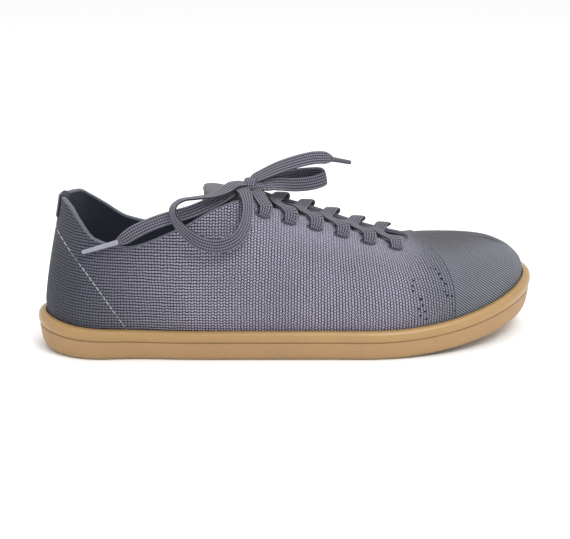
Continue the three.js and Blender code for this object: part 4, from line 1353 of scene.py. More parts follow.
@dataclass
class Insole:
    """The foot bed: a thin plate with a rounded edge, in the lining's cloth."""

    thickness: float = 3.2
    side_gap: float = 2.1  # from the cup's wall, for the upper's wall between them
    rounding: float = 1.0
    columns: int = 320

    def build(self, material: bpy.types.Material) -> None:
        """Makes the rings of the side and closes them. The cloth's map lies level over the plate.

        Args:
            material: The lining's cloth.
        """
        turns = np.arange(self.columns) * 2 / self.columns
        angle = np.linspace(0, np.pi / 2, 6)
        inset = np.concatenate([[0.0], self.rounding * (1 - np.cos(angle))])
        height = np.concatenate([[0.0], self.thickness - self.rounding * (1 - np.sin(angle))])
        start = LAST.lip + LAST.gap + self.side_gap
        side = np.stack([LAST.inset(turns, np.full_like(turns, start + i)) for i in inset])
        side[..., 2] = LAST.ground(LAST.along(turns)) + LAST.foot_bed + LAST.gap + height[:, None]
        surface = Surface("foot_bed")
        surface.grid(side, uv=side[..., :2], around=True)
        for ring, flip in ((side[-1], True), (side[0], False)):
            strip = strip_across(ring, 31)
            surface.grid(strip, uv=strip[..., :2], flip=flip)
        surface.build([material], "lining", "insole")


@dataclass
class Upper:
    """The knitted upper, its lining, its folded edge and the heel tab."""

    columns: int = 520
    rows: int = 72
    row_power: float = 0.95  # below 1 sets the rows a little closer at the top
    map_rise: float = 0.35  # the ring at this rise gives the knit its map's length
    tuck: float = 5.0  # how far the knit goes down into the cup
    lining_rows: int = 40
    lining_inset: float = 0.2
    lining_lift: float = 0.4  # of its foot, over the foot bed
    fold_swell: float = 1.06  # of the folded edge, sideways, as a share of half the wall
    fold_height: float = 0.8
    fold_reach: float = 0.35  # past half a round, at each end, in radians
    first_eyelet: float = -18.0  # along X, of the top pair
    eyelet_pitch: float = 14.8
    eyelet_pairs: int = 6
    eyelet_margin: float = 6.2
    slit_length: float = 7.0
    slit_end: float = 0.4  # from the slit's end to its rim
    rim_half_width: float = 1.7
    rim_thread: float = 0.62
    rim_stitches: int = 24
    rim_swell: float = 0.22  # of each stitch
    rim_lift: float = 0.15
    hole_lift: float = 0.12
    dome_centre: tuple[float, float] = (110.0, 8.5)
    dome_near: float = 8.0
    dome_far: float = 19.0
    heel_seam_low: tuple[float, float] = (-94.3, 18.0)  # x and z
    heel_seam_high: tuple[float, float] = (-129.5, 68.0)
    heel_seam_bow: float = 1.3
    tab_half_turn: float = 0.038
    tab_width: float = 13.0
    tab_thickness: float = 0.7
    tab_gap: float = 0.25
    tab_crown: float = 0.9  # over the rim
    tab_outer: float = 11.0
    tab_inner: float = 14.0

    def build(self, effects: Effects, lining: bpy.types.Material, binding: bpy.types.Material,
              thread: bpy.types.Material) -> None:
        """Makes every piece of the upper.

        Args:
            effects: The shared effects.
            lining: The lining's cloth.
            binding: The folded edge's cloth.
            thread: The slit rims' thread.
        """
        self.knit(KnitFinish().build(effects))
        self.lining(lining)
        self.binding(binding)
        self.tab(lining)
        self.eyelets(thread, PlainFinish("hole_shadow", (0.012, 0.013, 0.018), 0.95).build(effects))

    def turns(self) -> Array:
        """The columns' turns, close together at the front seam.

        Returns:
            The turns.
        """
        even = np.arange(self.columns) * 2 / self.columns
        seam = LAST.seam_station + np.array([-0.001, 0.0, 0.001, 0.002, 0.003, 0.004, 0.005])
        ends = np.array([LAST.throat_end])
        return np.unique(np.concatenate([even, seam, 2 - seam, ends, 2 - ends]).round(6))

    def knit(self, material: bpy.types.Material) -> None:
        """Makes the outer face, with the distances that its seams are drawn from.

        Args:
            material: The knit.
        """
        turns = self.turns()
        rises = np.linspace(0, 1, self.rows) ** self.row_power
        shell = LAST.outer(turns[None], rises[:, None])
        shell[..., 2] = self.domed(shell)
        foot = shell[0] - LAST.outward(turns) * LAST.gap - np.array([0, 0, self.tuck])
        points = np.concatenate([foot[None], shell])
        climb = run_length(points, 0) - self.tuck
        middle = LAST.face(turns, np.full_like(turns, self.map_rise))
        ring = run_length(np.concatenate([middle, middle[:1]])[None], 1)[0]
        uv = paired(ring[None], np.concatenate([climb, climb[:, :1]], 1))
        station = LAST.station(turns)
        heel_seam, heel_run = self.heel_seam(points)
        per_station = LAST.length * np.pi / 2 * np.sin(np.pi * LAST.seam_station)
        front = np.broadcast_to(((station - LAST.seam_station) * per_station)[None], climb.shape)
        rise = np.concatenate([rises[:1], rises])[:, None] * np.ones((1, len(turns)))
        marks = {"heel_seam": heel_seam, "heel_run": heel_run, "front_seam": front, "rise": rise}
        surface = Surface("knitted_upper")
        surface.grid(points, uv=uv, marks=marks, around=True)
        surface.build([material], "knit", "upper")

    def domed(self, shell: Array) -> Array:
        """Smooths the toe's top, where the columns run together at the end of the vamp's line.

        A cubic in x and y is fitted to the heights round about. It takes over fully inside the near
        reach, and fades out at the far one.

        Args:
            shell: The outer face's points.

        Returns:
            The points' heights.
        """
        offset = (shell[..., :2] - np.array(self.dome_centre)) / self.dome_far
        distance = np.linalg.norm(offset, axis=-1)
        x, y = offset[..., 0], offset[..., 1]
        terms = np.stack([x ** i * y ** j for i in range(4) for j in range(4 - i)], -1)
        near = self.dome_near / self.dome_far
        band = (distance > near) & (distance < 1)
        weights = np.linalg.lstsq(terms[band], shell[..., 2][band], rcond=None)[0]
        share = smooth((1 - distance) / (1 - near))
        return shell[..., 2] + share * (terms @ weights - shell[..., 2])

    def heel_seam(self, points: Array) -> tuple[Array, Array]:
        """Measures from the counter's seam, which leans back as it climbs and bows a little forwards.

        Args:
            points: The outer face's points.

        Returns:
            The distance behind the seam and the way up it, as seen from the side.
        """
        low, high = np.array(self.heel_seam_low), np.array(self.heel_seam_high)
        way = (high - low) / np.linalg.norm(high - low)
        offset = np.stack([points[..., 0], points[..., 2]], -1) - low
        run = offset @ way
        behind = offset[..., 0] * -way[1] + offset[..., 1] * way[0]
        bow = self.heel_seam_bow * np.sin(np.pi * np.clip(run / np.linalg.norm(high - low), 0, 1))
        return behind + bow, run

    def lining(self, material: bpy.types.Material) -> None:
        """Makes the inner face.

        Args:
            material: The cloth.
        """
        turns = self.turns()
        rises = np.linspace(0, 1, self.lining_rows)
        points = LAST.inner(turns[None], rises[:, None])
        foot = points[0] - LAST.outward(turns) * self.lining_inset
        foot[:, 2] = LAST.ground(LAST.along(turns)) + LAST.foot_bed + self.lining_lift
        points = np.concatenate([foot[None], points])
        ring = run_length(points, 1)[self.lining_rows // 2]
        uv = paired(ring[None], run_length(points, 0))
        surface = Surface("lining")
        surface.grid(points, uv=uv, around=True, flip=True)
        surface.build([material], "lining")

    def binding(self, material: bpy.types.Material) -> None:
        """Makes the folded edge: half a round from the outer face over the wall to the inner face.

        Args:
            material: The cloth.
        """
        turns = np.linspace(-LAST.throat_end, LAST.throat_end, 760)
        outer, inner = LAST.outer(turns, np.ones_like(turns)), LAST.inner(turns, np.ones_like(turns))
        middle, half = (outer + inner) / 2, (outer - inner) / 2
        way = unit(np.gradient(middle, axis=0))
        up = unit(np.cross(way, unit(half)))
        up = up * np.sign(up[:, 2:3] + 1e-9)
        angle = np.linspace(-self.fold_reach, np.pi + self.fold_reach, 15)[:, None, None]
        up = up * np.linalg.norm(half, axis=-1)[:, None]
        points = middle + np.cos(angle) * half * self.fold_swell + np.sin(angle) * up * self.fold_height
        uv = paired(run_length(middle[None], 1)[0][None], np.linspace(0, 5, 15)[:, None])
        surface = Surface("folded_edge")
        surface.grid(points, uv=uv)
        surface.build([material], "knit")

    def tab(self, material: bpy.types.Material) -> None:
        """Makes the heel tab: a strip over the rim with a thickness of its own.

        Args:
            material: The cloth.
        """
        turns = np.linspace(-self.tab_half_turn, self.tab_half_turn, 25)
        steps = 12
        outer_rise = self.rise_below(0.0, self.tab_outer)
        inner_rise = self.rise_below(0.0, self.tab_inner)
        surface = Surface("heel_tab_strip")

        def layer(away: float) -> Array:
            """The strip's line from outside over the rim to inside, this far off the wall."""
            down = np.linspace(outer_rise, 1, steps)[:, None]
            outside = LAST.outer(turns[None], down, away)
            inside = LAST.inner(turns[None], np.linspace(1, inner_rise, steps)[:, None], away)
            middle, half = (outside[-1] + inside[0]) / 2, (outside[-1] - inside[0]) / 2
            angle = np.linspace(0, np.pi, 11)[1:-1, None, None]
            crown = np.array([0, 0, self.tab_crown + away])
            rim = middle + np.cos(angle) * half + np.sin(angle) * crown
            return np.concatenate([outside, rim, inside])

        near, far = layer(self.tab_gap), layer(self.tab_gap + self.tab_thickness)
        uv = paired(np.linspace(0, self.tab_width, len(turns))[None], run_length(far, 0))
        surface.grid(far, uv=uv)
        for a, b in ((near[:, 0], far[:, 0]), (far[:, -1], near[:, -1])):
            surface.grid(np.stack([a, b], 1), uv=np.stack([uv[:, 0], uv[:, 1]], 1))
        for a, b in ((near[0], far[0]), (far[-1], near[-1])):
            surface.grid(np.stack([a, b]), uv=np.stack([uv[0], uv[1]]))
        surface.grid(near, uv=uv, flip=True)
        surface.build([material], "lining", "heel_tab")

    def rise_below(self, turn: float, distance: float) -> float:
        """Finds the point this far below the top line.

        Args:
            turn: The turn.
            distance: How far, in millimetres.

        Returns:
            The point's rise.
        """
        rises = np.linspace(0.4, 1, 400)
        points = LAST.face(np.full_like(rises, turn), rises)
        gap = np.linalg.norm(points - points[-1], axis=-1)
        return float(rises[np.argmin(np.abs(gap - distance))])

    def eyelet(self, side: Side, number: float) -> tuple[float, float]:
        """Finds a slit.

        Args:
            side: Its side.
            number: Its place from the top, from 0.

        Returns:
            Its turn and its rise.
        """
        stations = np.linspace(THROAT_TOP, LAST.throat_end - 0.002, 600)
        turns = stations if side is Side.LATERAL else 2 - stations
        x = LAST.top(turns)[:, 0]
        wanted = self.first_eyelet + number * self.eyelet_pitch
        turn = float(turns[np.argmin(np.abs(x - wanted))])
        return turn, self.rise_below(turn, self.eyelet_margin)

    def eyelets(self, material: bpy.types.Material, shadow: bpy.types.Material) -> None:
        """Makes the slits' stitched rims and the pinholes.

        A rim is an ellipse on the knit's face, and its section a round that swells with each stitch.

        Args:
            material: The thread.
            shadow: The holes' darkness.
        """
        surface = Surface("slit_rims")
        hole = Surface("slit_holes")
        for side in Side:
            for number in range(self.eyelet_pairs):
                turn, rise = (np.array(value) for value in self.eyelet(side, number))
                centre, normal = LAST.outer(turn, rise), LAST.normal(turn, rise)
                run = LAST.outer(turn + 0.01, rise) - LAST.outer(turn - 0.01, rise)
                run = unit(run - normal * (run @ normal))
                across = np.cross(normal, run)
                angle = circle(96)
                long, wide = self.slit_length / 2 + self.slit_end, self.rim_half_width
                cos, sin = np.outer(np.cos(angle), run), np.outer(np.sin(angle), across)
                ring = centre + cos * long + sin * wide
                out = unit(cos * wide + sin * long)
                swell = 1 + self.rim_swell * np.cos(self.rim_stitches * angle)
                swell = self.rim_thread * swell[None, :, None]
                around = np.linspace(0, 2 * np.pi, 9)[:, None, None]
                section = np.cos(around) * out + np.sin(around) * normal
                tube = ring + section * swell + normal * self.rim_lift
                surface.grid(tube[::-1], around=True)
                share = np.array([1.0, 0.5, 0.02])[:, None, None]
                disc = centre + (ring - centre) * share + normal * self.hole_lift
                hole.grid(disc, around=True)
        surface.build([material], "knit")
        hole.build([shadow], "lining")
        self.pinholes(shadow)

    def pinholes(self, shadow: bpy.types.Material) -> None:
        """Makes the small round holes behind the front seam, on both sides.

        Args:
            shadow: The holes' darkness.
        """
        surface = Surface("pinholes")
        angle = circle(14)
        for station, rise, radius in PINHOLES:
            for side in Side:
                turn = np.array(station if side is Side.LATERAL else 2 - station)
                centre = LAST.outer(turn, np.array(rise))
                normal = LAST.normal(turn, np.array(rise))
                level = unit(np.cross(normal, [0.0, 0.0, 1.0]))
                ring = np.outer(np.cos(angle), level) + np.outer(np.sin(angle), np.cross(normal, level))
                share = np.array([1.0, 0.7, 0.02])[:, None, None]
                dome = normal * np.array([-0.05, 0.08, 0.12])[:, None, None]
                surface.grid(centre + ring * radius * PINHOLE_SWELL * share + dome, around=True)
        surface.build([shadow], "lining")


@dataclass
class Tongue:
    """The smooth cloth tongue under the lace."""

    thickness: float = 3.0
    crown: float = 0.07
    edge_rise: float = 0.96  # where it leaves the lining
    edge_gap: float = 0.7
    wing_rises: tuple[float, float] = (0.65, 0.9)
    wing_gap: float = 0.35
    stations: tuple[float, float] = (0.735, 0.4286)  # from under the vamp to the throat's top
    front_lift: float = 1.6  # how much the cloth swells up where the throat closes
    front_stations: tuple[float, float] = (0.645, 0.675)  # where that swell begins and is full
    free_length: float = 19.0
    free: Array = field(default_factory=lambda: np.array([  # share, width, climb
        (0.0, 1.0, 0.4), (0.08, 0.92, 0.4), (0.25, 0.82, 0.4), (0.5, 0.71, 0.37), (0.75, 0.62, 0.32),
        (0.92, 0.53, 0.27), (1.0, 0.42, 0.24)]))

    def bridge(self, station: Array, share: Array, away: Any = 0.0) -> Array:
        """The face between the throat's edges: a straight line with a parabola's crown on it.

        Args:
            station: The stations.
            share: Shares of the way from the lateral edge to the medial one.
            away: How far up, in millimetres.

        Returns:
            The points.
        """
        station, share = np.broadcast_arrays(np.asarray(station, float), np.asarray(share, float))
        edge = np.full(station.shape, self.edge_rise)
        a, b = LAST.inner(station, edge, self.edge_gap), LAST.inner(2 - station, edge, self.edge_gap)
        opened = np.clip((LAST.throat_end - station) / 0.06, 0, 1)
        rise = opened * self.crown * np.linalg.norm(a - b, axis=-1) * 4 * share * (1 - share)
        start, full = self.front_stations
        front = smooth((station - start) / (full - start)) * smooth((LAST.throat_end - station) / 0.005)
        rise = rise + self.front_lift * front * (1 - (2 * share - 1) ** 4)
        points = a + (b - a) * share[..., None]
        points[..., 2] += rise + away
        return points

    def row(self, station: Array, depth: float) -> Array:
        """Lays lines across the tongue: a wing, the bridge and the other wing.

        Args:
            station: The lines' stations.
            depth: How far below the upper face.

        Returns:
            Lines x points x 3.
        """
        station = np.asarray(station, float)[:, None]
        wing = np.linspace(*self.wing_rises, 10)[None]
        left = LAST.inner(station, wing, self.wing_gap + depth)
        middle = self.bridge(station, np.linspace(0, 1, 41)[None], -depth)
        right = LAST.inner(2 - station, wing[:, ::-1], self.wing_gap + depth)
        return np.concatenate([left, middle, right], 1)

    def layer(self, depth: float) -> Array:
        """Lays all lines of one face, from under the vamp to the free end.

        Args:
            depth: How far below the upper face.

        Returns:
            Lines x points x 3.
        """
        rows = self.row(np.linspace(*self.stations, 90), depth)
        last = rows[-1]
        centre = last[len(last) // 2]
        share = np.linspace(0, 1, 30)[1:]
        width, climb = follow(self.free, 1, share), follow(self.free, 2, share)
        end = np.repeat(last[None], len(share), 0)
        end[..., 1] = centre[1] + (last[None, :, 1] - centre[1]) * width[:, None]
        end[..., 2] += (centre[2] - last[None, :, 2]) * (1 - width[:, None])
        run = share * self.free_length
        end[..., 0] += (centre[0] - last[None, :, 0]) * smooth(share)[:, None]
        end[..., 0] -= (run * np.sqrt(1 - climb ** 2))[:, None]
        end[..., 2] += (run * climb)[:, None]
        return np.concatenate([rows, end])

    def build(self, material: bpy.types.Material) -> None:
        """Makes both faces and the rolled edge between them.

        Args:
            material: The cloth.
        """
        top, bottom = self.layer(0.0), self.layer(self.thickness)
        across = run_length(top, 1)
        uv = np.stack([across - across[:, -1:] / 2, run_length(top, 0)], -1)
        surface = Surface("tongue_cloth")
        surface.grid(top, uv=uv)
        surface.grid(bottom, uv=uv, flip=True)
        angle = np.linspace(0, np.pi, 9)[:, None, None]

        def roll(a: Array, b: Array, away: Array) -> Array:
            """Half a round from one edge to the other, swelling out to half the thickness."""
            middle, half = (a + b) / 2, (a - b) / 2
            return middle + np.cos(angle) * half + np.sin(angle) * away * (self.thickness / 2)

        back = unit(top[-1] - top[-2])
        step = np.linspace(0, self.thickness, 9)[:, None]
        end_uv = paired(uv[-1, :, 0][None], uv[-1, :, 1][None] + step)
        surface.grid(roll(top[-1], bottom[-1], back), uv=end_uv)
        for i, flip in ((0, True), (-1, False)):
            out = unit(top[:, i] - top[:, 1 if i == 0 else -2])
            surface.grid(roll(top[:, i], bottom[:, i], out), uv=paired(step, uv[:, i, 1][None]), flip=flip)
        surface.build([material], "tongue_cloth", "tongue")


# The bow: where the lace's middle runs, the way its face looks and the share of its width that it fills.
KNOT = np.array([-23.0, -5.0, 89.0])
LOOP_LATERAL = (
    (-23, -8, 89.6, 0.1, -0.3, 0.95, 0.7), (-28.5, -13.5, 89.6, 0.2, -0.4, 0.9, 1),
    (-27, -19, 88.0, 0.3, -0.55, 0.75, 1), (-26.4, -25, 84.2, 0.55, -0.75, 0.4, 1),
    (-27, -30.5, 79.4, 0.6, -0.8, 0.2, 1), (-28.8, -36, 74.2, 0.45, -0.88, 0.1, 1),
    (-33.5, -41, 68.6, 0.2, -0.97, 0.05, 1), (-43, -43.5, 65.6, 0, -1, 0, 1),
    (-53, -43, 67.6, -0.2, -0.95, -0.1, 1), (-61.5, -41, 74, -0.7, -0.7, -0.1, 1),
    (-66.4, -38.5, 80.5, -0.93, -0.3, 0.15, 1), (-66.6, -36, 85.6, -0.7, -0.1, 0.7, 1),
    (-62.5, -33, 88.4, -0.25, 0.05, 0.96, 1), (-55, -29, 88.6, 0, 0.1, 0.99, 1),
    (-46, -24, 88.4, 0.05, 0.05, 0.99, 1), (-38.5, -19, 89.8, 0, -0.1, 0.98, 1),
    (-33, -13.5, 92, -0.1, -0.3, 0.93, 1), (-25, -7, 91, -0.1, -0.3, 0.95, 0.7),
)
END_LATERAL = (
    (-24, -6, 88.6, -0.2, -0.3, 0.9, 0.7), (-31, -10, 88.2, -0.2, -0.35, 0.9, 1),
    (-35.5, -14.5, 87, -0.2, -0.5, 0.85, 1), (-41.5, -19, 85, -0.15, -0.65, 0.75, 1),
    (-49, -23, 82.8, -0.1, -0.72, 0.7, 1), (-57, -26, 80.4, -0.1, -0.76, 0.65, 1),
    (-65, -29, 79, -0.15, -0.8, 0.6, 1), (-72, -31, 77.6, -0.2, -0.8, 0.6, 1),
    (-80, -32, 75, -0.25, -0.8, 0.55, 1), (-87.5, -32.3, 71.6, -0.3, -0.85, 0.45, 1),
    (-93, -32.3, 68.2, -0.3, -0.9, 0.35, 0.85), (-97.5, -32, 65.9, -0.3, -0.9, 0.3, 0.36),
)
LOOP_MEDIAL = (
    (-19, -6.5, 89.4, 0, -0.5, 0.85, 0.7), (-14.6, -6, 89.4, 0, -0.6, 0.8, 1),
    (-10, -1, 88.6, 0, -0.8, 0.6, 1), (-4.5, 5, 87.4, 0.1, -0.85, 0.5, 1),
    (3, 10, 85.8, 0.1, -0.88, 0.45, 1), (11, 13.5, 85.4, 0.15, -0.9, 0.4, 1),
    (18, 17, 86, 0.5, -0.8, 0.3, 1), (22.5, 21.5, 87, 0.98, -0.1, 0.2, 1),
    (20.5, 26.5, 88.2, 0.6, 0.75, 0.2, 1), (13.5, 27.5, 88.4, 0, 0.95, 0.3, 1),
    (5.5, 25, 88.4, -0.3, 0.9, 0.3, 1), (-2, 20, 88.6, -0.4, 0.85, 0.35, 1),
    (-9, 13, 89.6, -0.4, 0.8, 0.4, 1), (-14.5, 6, 90.6, -0.4, 0.7, 0.6, 1),
    (-20, -1, 90.6, -0.4, 0.6, 0.7, 0.7),
)
END_MEDIAL = (
    (-23.5, -6, 91, -0.3, -0.4, 0.85, 0.7), (-19.5, -4.5, 93.6, -0.3, -0.5, 0.8, 1),
    (-14, -1.5, 95.4, -0.25, -0.65, 0.7, 1), (-7.5, 2.5, 97.2, -0.15, -0.75, 0.65, 1),
    (0, 6.5, 98.8, -0.1, -0.78, 0.6, 1), (8.5, 10, 100.2, 0, -0.8, 0.6, 1),
    (16, 12.5, 100.8, 0.1, -0.8, 0.6, 1), (22, 14, 100.2, 0.2, -0.8, 0.55, 0.9),
    (26, 14.8, 99, 0.25, -0.8, 0.55, 0.34),
)
AGLET_TIPS = {Side.LATERAL: (-115.8, -29.5, 60.4), Side.MEDIAL: (36.6, 17.0, 96.5)}
WRAPS = (  # turned, reach, height, shift
    (0.25, 6.6, 3.6, (0, 0, 0.4)),
    (-0.5, 6.0, 3.0, (1.5, 0.5, -0.6)),
    (1.2, 5.4, 2.6, (-1.0, 0.0, -0.8)),
)
STRAND_START = (  # share of the way to the edge; climb, off the knit, forward, up; tilts; share of the width
    (0.0, -0.4, -2.65, 0.0, 0.0, 1.0, 0.0, 0.66),
    (0.0, -0.9, 0.3, 0.0, 0.0, 1.0, 0.0, 0.74),
    (0.0, 1.4, 1.5, 0.5, 0.0, 0.0, 0.0, 0.92),
    (0.65, 0.0, 2.0, 0.6, 0.0, 0.0, 0.2, 1.02),
    (1.0, 0.0, 0.6, -0.5, 1.5, 0.0, 1.5, 1.0),
)


def spline(points: Array, count: int) -> Array:
    """A centripetal Catmull-Rom curve through rows of numbers, spaced by the first three.

    Args:
        points: The rows.
        count: How many rows to return.

    Returns:
        The rows on the curve.
    """
    padded = np.concatenate([2 * points[:1] - points[1:2], points, 2 * points[-1:] - points[-2:-1]])
    step = np.maximum(np.linalg.norm(np.diff(padded[:, :3], axis=0), axis=1) ** 0.5, 1e-6)
    t = np.concatenate([[0], np.cumsum(step)])
    at = np.linspace(t[1], t[-2], count)
    k = np.clip(np.searchsorted(t, at, side="right") - 1, 1, len(points) - 1)
    t0, t1, t2, t3 = (t[k + i][:, None] for i in (-1, 0, 1, 2))
    p0, p1, p2, p3 = (padded[k + i] for i in (-1, 0, 1, 2))
    u = at[:, None]
    a1 = (t1 - u) / (t1 - t0) * p0 + (u - t0) / (t1 - t0) * p1
    a2 = (t2 - u) / (t2 - t1) * p1 + (u - t1) / (t2 - t1) * p2
    a3 = (t3 - u) / (t3 - t2) * p2 + (u - t2) / (t3 - t2) * p3
    b1 = (t2 - u) / (t2 - t0) * a1 + (u - t0) / (t2 - t0) * a2
    b2 = (t3 - u) / (t3 - t1) * a2 + (u - t1) / (t3 - t1) * a3
    return (t2 - u) / (t2 - t1) * b1 + (u - t1) / (t2 - t1) * b2


@dataclass
class Lace:
    """The flat lace: strands through the slits, the knot, two loops and two ends."""

    width: float = 8.0
    thickness: float = 1.5
    sides: int = 20
    wrap_fill: float = 0.82  # of the knot's wraps
    strand_fill: float = 0.96
    strand_gap: float = 0.25  # over the tongue
    rim_gap: float = 0.9  # over the throat's edge
    under: float = -0.3  # how far a strand's end lies off the tongue
    tip_radius: float = 1.5

    def ribbon(self, surface: Surface, rows: Array, count: int) -> Array:
        """Carries a flat rounded section along a curve.

        The section is a superellipse, |x|^4 + |y|^2.5 = 1, as wide as the lace and as thick.

        Args:
            surface: What the ribbon is added to.
            rows: x, y, z, the way the face looks and the share of the width, a row for each point.
            count: How many sections.

        Returns:
            The middle line.
        """
        line = spline(np.asarray(rows, float), count)
        at, face, fill = line[:, :3], line[:, 3:6], line[:, 6]
        way = unit(np.gradient(at, axis=0))
        across = unit(np.cross(way, face))
        out = np.cross(across, way)
        angle = circle(self.sides)
        x = np.sign(np.cos(angle)) * np.abs(np.cos(angle)) ** 0.5 * self.width / 2
        y = np.sign(np.sin(angle)) * np.abs(np.sin(angle)) ** 0.8 * self.thickness / 2
        swell = 1 + 0.25 * (1 - fill)
        section = (across[:, None] * (x[None] * fill[:, None])[..., None]
                   + out[:, None] * (y[None] * swell[:, None])[..., None])
        points = at[:, None] + section
        run = run_length(at[None], 1)[0]
        uv = paired(x[None] + self.width / 2, run[:, None])
        closing = np.concatenate([uv, uv[:, :1]], 1)
        surface.grid(points, uv=closing, around=True, flip=True)
        for end, flip in ((0, False), (-1, True)):
            shrink = np.array([1.0, 0.01])[:, None, None]
            cap = at[end] + section[end] * shrink
            cap_uv = np.broadcast_to(closing[end], (2, *closing[end].shape))
            surface.grid(cap, uv=cap_uv, around=True, flip=flip)
        return at

    def free(self, name: str, rows: Sequence[Sequence[float]], node: str, material: bpy.types.Material,
             count: int) -> tuple[bpy.types.Object, Array]:
        """Makes one free stretch of the bow.

        Args:
            name: The piece's name.
            rows: The route, as in the tables.
            node: The CAD node that it stands for.
            material: The lace.
            count: How many sections.

        Returns:
            The piece and its middle line.
        """
        surface = Surface(name)
        line = self.ribbon(surface, np.array(rows), count)
        return surface.build([material], "lace", node), line

    def declare(self, piece: bpy.types.Object, line: Array,
                extra: list[bpy.types.Object]) -> None:
        """Logs a piece's length, measured along its middle line.

        Args:
            piece: The piece.
            line: Its middle line.
            extra: The pieces that go with it; not used.
        """
        length = float(run_length(line[None], 1)[0][-1]) * METRE
        LOG.info("%s: %.0f mm long", piece.name, length / METRE)

    def aglet(self, side: Side, start: Sequence[float],
              material: bpy.types.Material) -> bpy.types.Object:
        """Makes a tip: a round rod that narrows a little and closes at its end.

        Args:
            side: Its end's side.
            start: The last row of its end's route.
            material: The film.

        Returns:
            The piece.
        """
        base, tip = np.array(start[:3], float), np.array(AGLET_TIPS[side])
        way = unit(tip - base)
        side_way = unit(np.cross(way, [0.0, 0.0, 1.0]))
        up = np.cross(side_way, way)
        length = float(np.linalg.norm(tip - base))
        shape = np.array([  # run, radius
            (-1.5, 0.2), (-1.4, 1.25), (0, self.tip_radius), (length * 0.25, 1.35),
            (length * 0.6, 1.3), (length - 0.5, 1.2), (length - 0.1, 0.9), (length, 0.02)])
        angle = circle(20)
        ring = np.cos(angle)[:, None] * side_way + np.sin(angle)[:, None] * up
        points = base + shape[:, None, :1] * way + shape[:, None, 1:] * ring
        surface = Surface(f"tip_{side.name.lower()}")
        surface.grid(points, around=True, flip=True)
        slot = "clear_aglet" if side is Side.LATERAL else "dark_aglet"
        return surface.build([material], slot, f"aglet_{side.name.lower()}")

    def knot(self, material: bpy.types.Material) -> bpy.types.Object:
        """Makes the knot: wraps of lace round the middle of the bow.

        A wrap is an ellipse round the knot, turned about the upright, with its face looking outwards.

        Args:
            material: The lace.

        Returns:
            The piece.
        """
        surface = Surface("knot_wraps")
        for turned, reach, high, shift in WRAPS:
            angle = np.linspace(0.1, 2 * np.pi + 0.1, 26)
            level = np.array([math.sin(turned), math.cos(turned), 0.0])
            out = np.cos(angle)[:, None] * level + np.sin(angle)[:, None] * np.array([0, 0, 1.0])
            at = KNOT + np.array(shift) + np.cos(angle)[:, None] * level * reach
            at = at + np.sin(angle)[:, None] * np.array([0, 0, 1.0]) * high
            rows = np.column_stack([at, out, np.full(len(angle), self.wrap_fill)])
            self.ribbon(surface, rows, 60)
        return surface.build([material], "lace", "lace_knot")

    def strands(self, upper: Upper, tongue: Tongue, material: bpy.types.Material) -> None:
        """Makes the strands out of the slits, over the throat's edges and across the tongue.

        Args:
            upper: The upper, for its slits.
            tongue: The tongue, for its face.
            material: The lace.
        """
        for number in range(1, 6):
            surface = Surface(f"lace_pair_{number}")
            for side in (Side.MEDIAL, Side.LATERAL):
                self.strand(surface, upper, tongue, side, number)
            surface.build([material], "lace", f"lace_cross_{number}")
        for side in Side:
            surface = Surface(f"lace_rise_{side.name.lower()}")
            rows = self.start(upper, side, 0)
            out = -1.0 if side is Side.LATERAL else 1.0
            end = KNOT + np.array([1.5, out * 4.5, -0.6])
            up = np.array([0, 0, 1.0])
            edge = rows[-1][:3]
            rows.append(np.concatenate([edge + (end - edge) * 0.5 + up * 0.6, up, [0.95]]))
            rows.append(np.concatenate([end, up, [0.8]]))
            self.ribbon(surface, np.array(rows), 44)
            surface.build([material], "lace", f"lace_top_{side.name.lower()}")

    def start(self, upper: Upper, side: Side, number: int) -> list[Array]:
        """Leads a strand up through its slit and over the throat's edge.

        Args:
            upper: The upper.
            side: The slit's side.
            number: The slit's place from the top, from 0.

        Returns:
            The route's first rows.
        """
        turn, rise = (np.array(value) for value in upper.eyelet(side, number))
        normal = LAST.normal(turn, rise)
        up, forward = np.array([0.0, 0.0, 1.0]), np.array([1.0, 0.0, 0.0])
        low, edge = LAST.outer(turn, rise), LAST.outer(turn, np.array(1.0))
        climb = unit(edge - low)
        rows = []
        for share, climbed, off, ahead, raised, back, tilt, fill in STRAND_START:
            at = low + (edge - low) * share + climb * climbed + forward * ahead + up * raised
            at = at + normal * (off + self.thickness / 2)
            rows.append(np.concatenate([at, unit(normal - climb * back + up * tilt), [fill]]))
        return rows

    def strand(self, surface: Surface, upper: Upper, tongue: Tongue, side: Side, number: int) -> None:
        """Runs one strand to the far side's next slit back, where it goes under the edge.

        Args:
            surface: What the strand is added to.
            upper: The upper.
            tongue: The tongue.
            side: The side that it starts on.
            number: Its slit's place from the top.
        """
        rows = self.start(upper, side, number)
        from_turn, _ = upper.eyelet(side, number)
        to_turn, _ = upper.eyelet(side, number - 1)
        first, last = (float(LAST.station(np.array(turn))) for turn in (from_turn, to_turn))
        rim = LAST.wall + LAST.quarter_step + self.rim_gap
        for share in (0.3, 0.44, 0.58, 0.72, 0.86, 1.0):
            station = first + (last - first) * share
            place = share if side is Side.LATERAL else 1 - share
            at = tongue.bridge(np.array(station), np.array(place))
            step = tongue.bridge(np.array(station), np.array(np.clip(place + 0.02, 0, 1)))
            step = step - tongue.bridge(np.array(station), np.array(np.clip(place - 0.02, 0, 1)))
            back = tongue.bridge(np.array(station - 0.004), np.array(place))
            back = back - tongue.bridge(np.array(station + 0.004), np.array(place))
            normal = unit(np.cross(step, back))
            normal = normal * np.sign(normal[2])
            lift = self.thickness * 1.05 if side is Side.LATERAL else 0.0
            bell = math.sin(math.pi * min(1.0, max(0.0, (share - 0.2) / 0.6)))
            away = self.strand_gap + self.thickness / 2 + rim * max(0.0, 1 - share / 0.6) + lift * bell
            if share == 1.0:
                away = self.under
            rows.append(np.concatenate([at + normal * away, normal, [self.strand_fill]]))
        self.ribbon(surface, np.array(rows), 90)

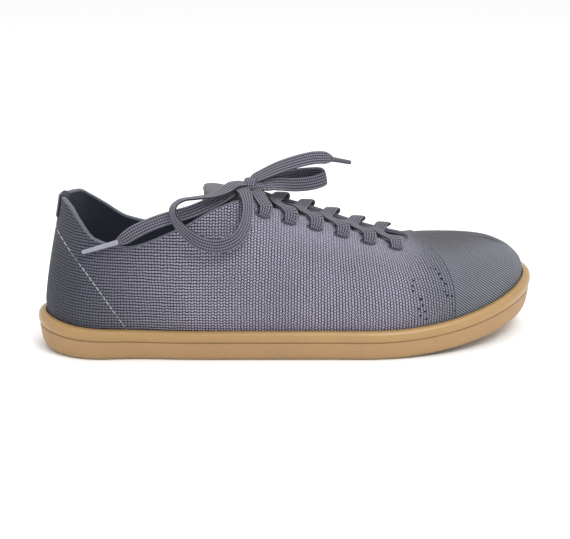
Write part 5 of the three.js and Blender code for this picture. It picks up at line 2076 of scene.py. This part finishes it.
    def build(self, effects: Effects, upper: Upper, tongue: Tongue) -> None:
        """Makes the whole lace.

        Args:
            effects: The shared effects.
            upper: The upper.
            tongue: The tongue.
        """
        cloth = LaceFinish().build(effects)
        clear = PlainFinish("clear_tip", (0.3, 0.3, 0.37), 0.3, 0.6, 0.2).build(effects)
        dark = PlainFinish("dark_tip", (0.06, 0.06, 0.075), 0.4, 0.3).build(effects)
        knot = self.knot(cloth)
        for name, rows, count, tip in (
                ("loop_lateral", LOOP_LATERAL, 200, None),
                ("loop_medial", LOOP_MEDIAL, 150, None),
                ("end_lateral", END_LATERAL, 120, (Side.LATERAL, clear)),
                ("end_medial", END_MEDIAL, 90, (Side.MEDIAL, dark))):
            piece, line = self.free(name, rows, f"lace_{name}", cloth, count)
            if tip is None:
                self.declare(piece, line, [knot] if name == "loop_lateral" else [])
            else:
                self.declare(piece, line, [self.aglet(tip[0], rows[-1], tip[1])])
        self.strands(upper, tongue, cloth)


CLOTHS = (  # the lining's, the folded edge's, the slit rims' and the tongue's
    WovenFinish("lining", (0.016, 0.026, 0.044), (0.004, 0.006, 0.01), 0.9, 0.9, 0.2),
    WovenFinish("folded_knit", (0.17, 0.175, 0.215), (0.035, 0.037, 0.053), 1.3, 1.2, 0.3),
    WovenFinish("slit_thread", (0.2, 0.23, 0.32), (0.05, 0.06, 0.09), 0.8, 0.8, 0.2),
    WovenFinish("tongue_cloth", (0.165, 0.163, 0.178), (0.078, 0.077, 0.086), 0.7, 0.7, 0.12),
)


def main() -> None:
    """Builds the studio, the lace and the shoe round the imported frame."""
    logging.basicConfig(level=logging.INFO, format="%(message)s")
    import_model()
    studio = Studio()
    studio.camera()
    effects = Effects()
    upper, tongue = Upper(), Tongue()
    Lace().build(effects, upper, tongue)
    lining, binding, thread, cloth = (finish.build(effects) for finish in CLOTHS)
    Sole().build(GumFinish().build(effects))
    upper.build(effects, lining, binding, thread)
    tongue.build(cloth)
    Insole().build(lining)
    studio.floor()
    studio.lights()


if __name__ == "__main__":
    main()
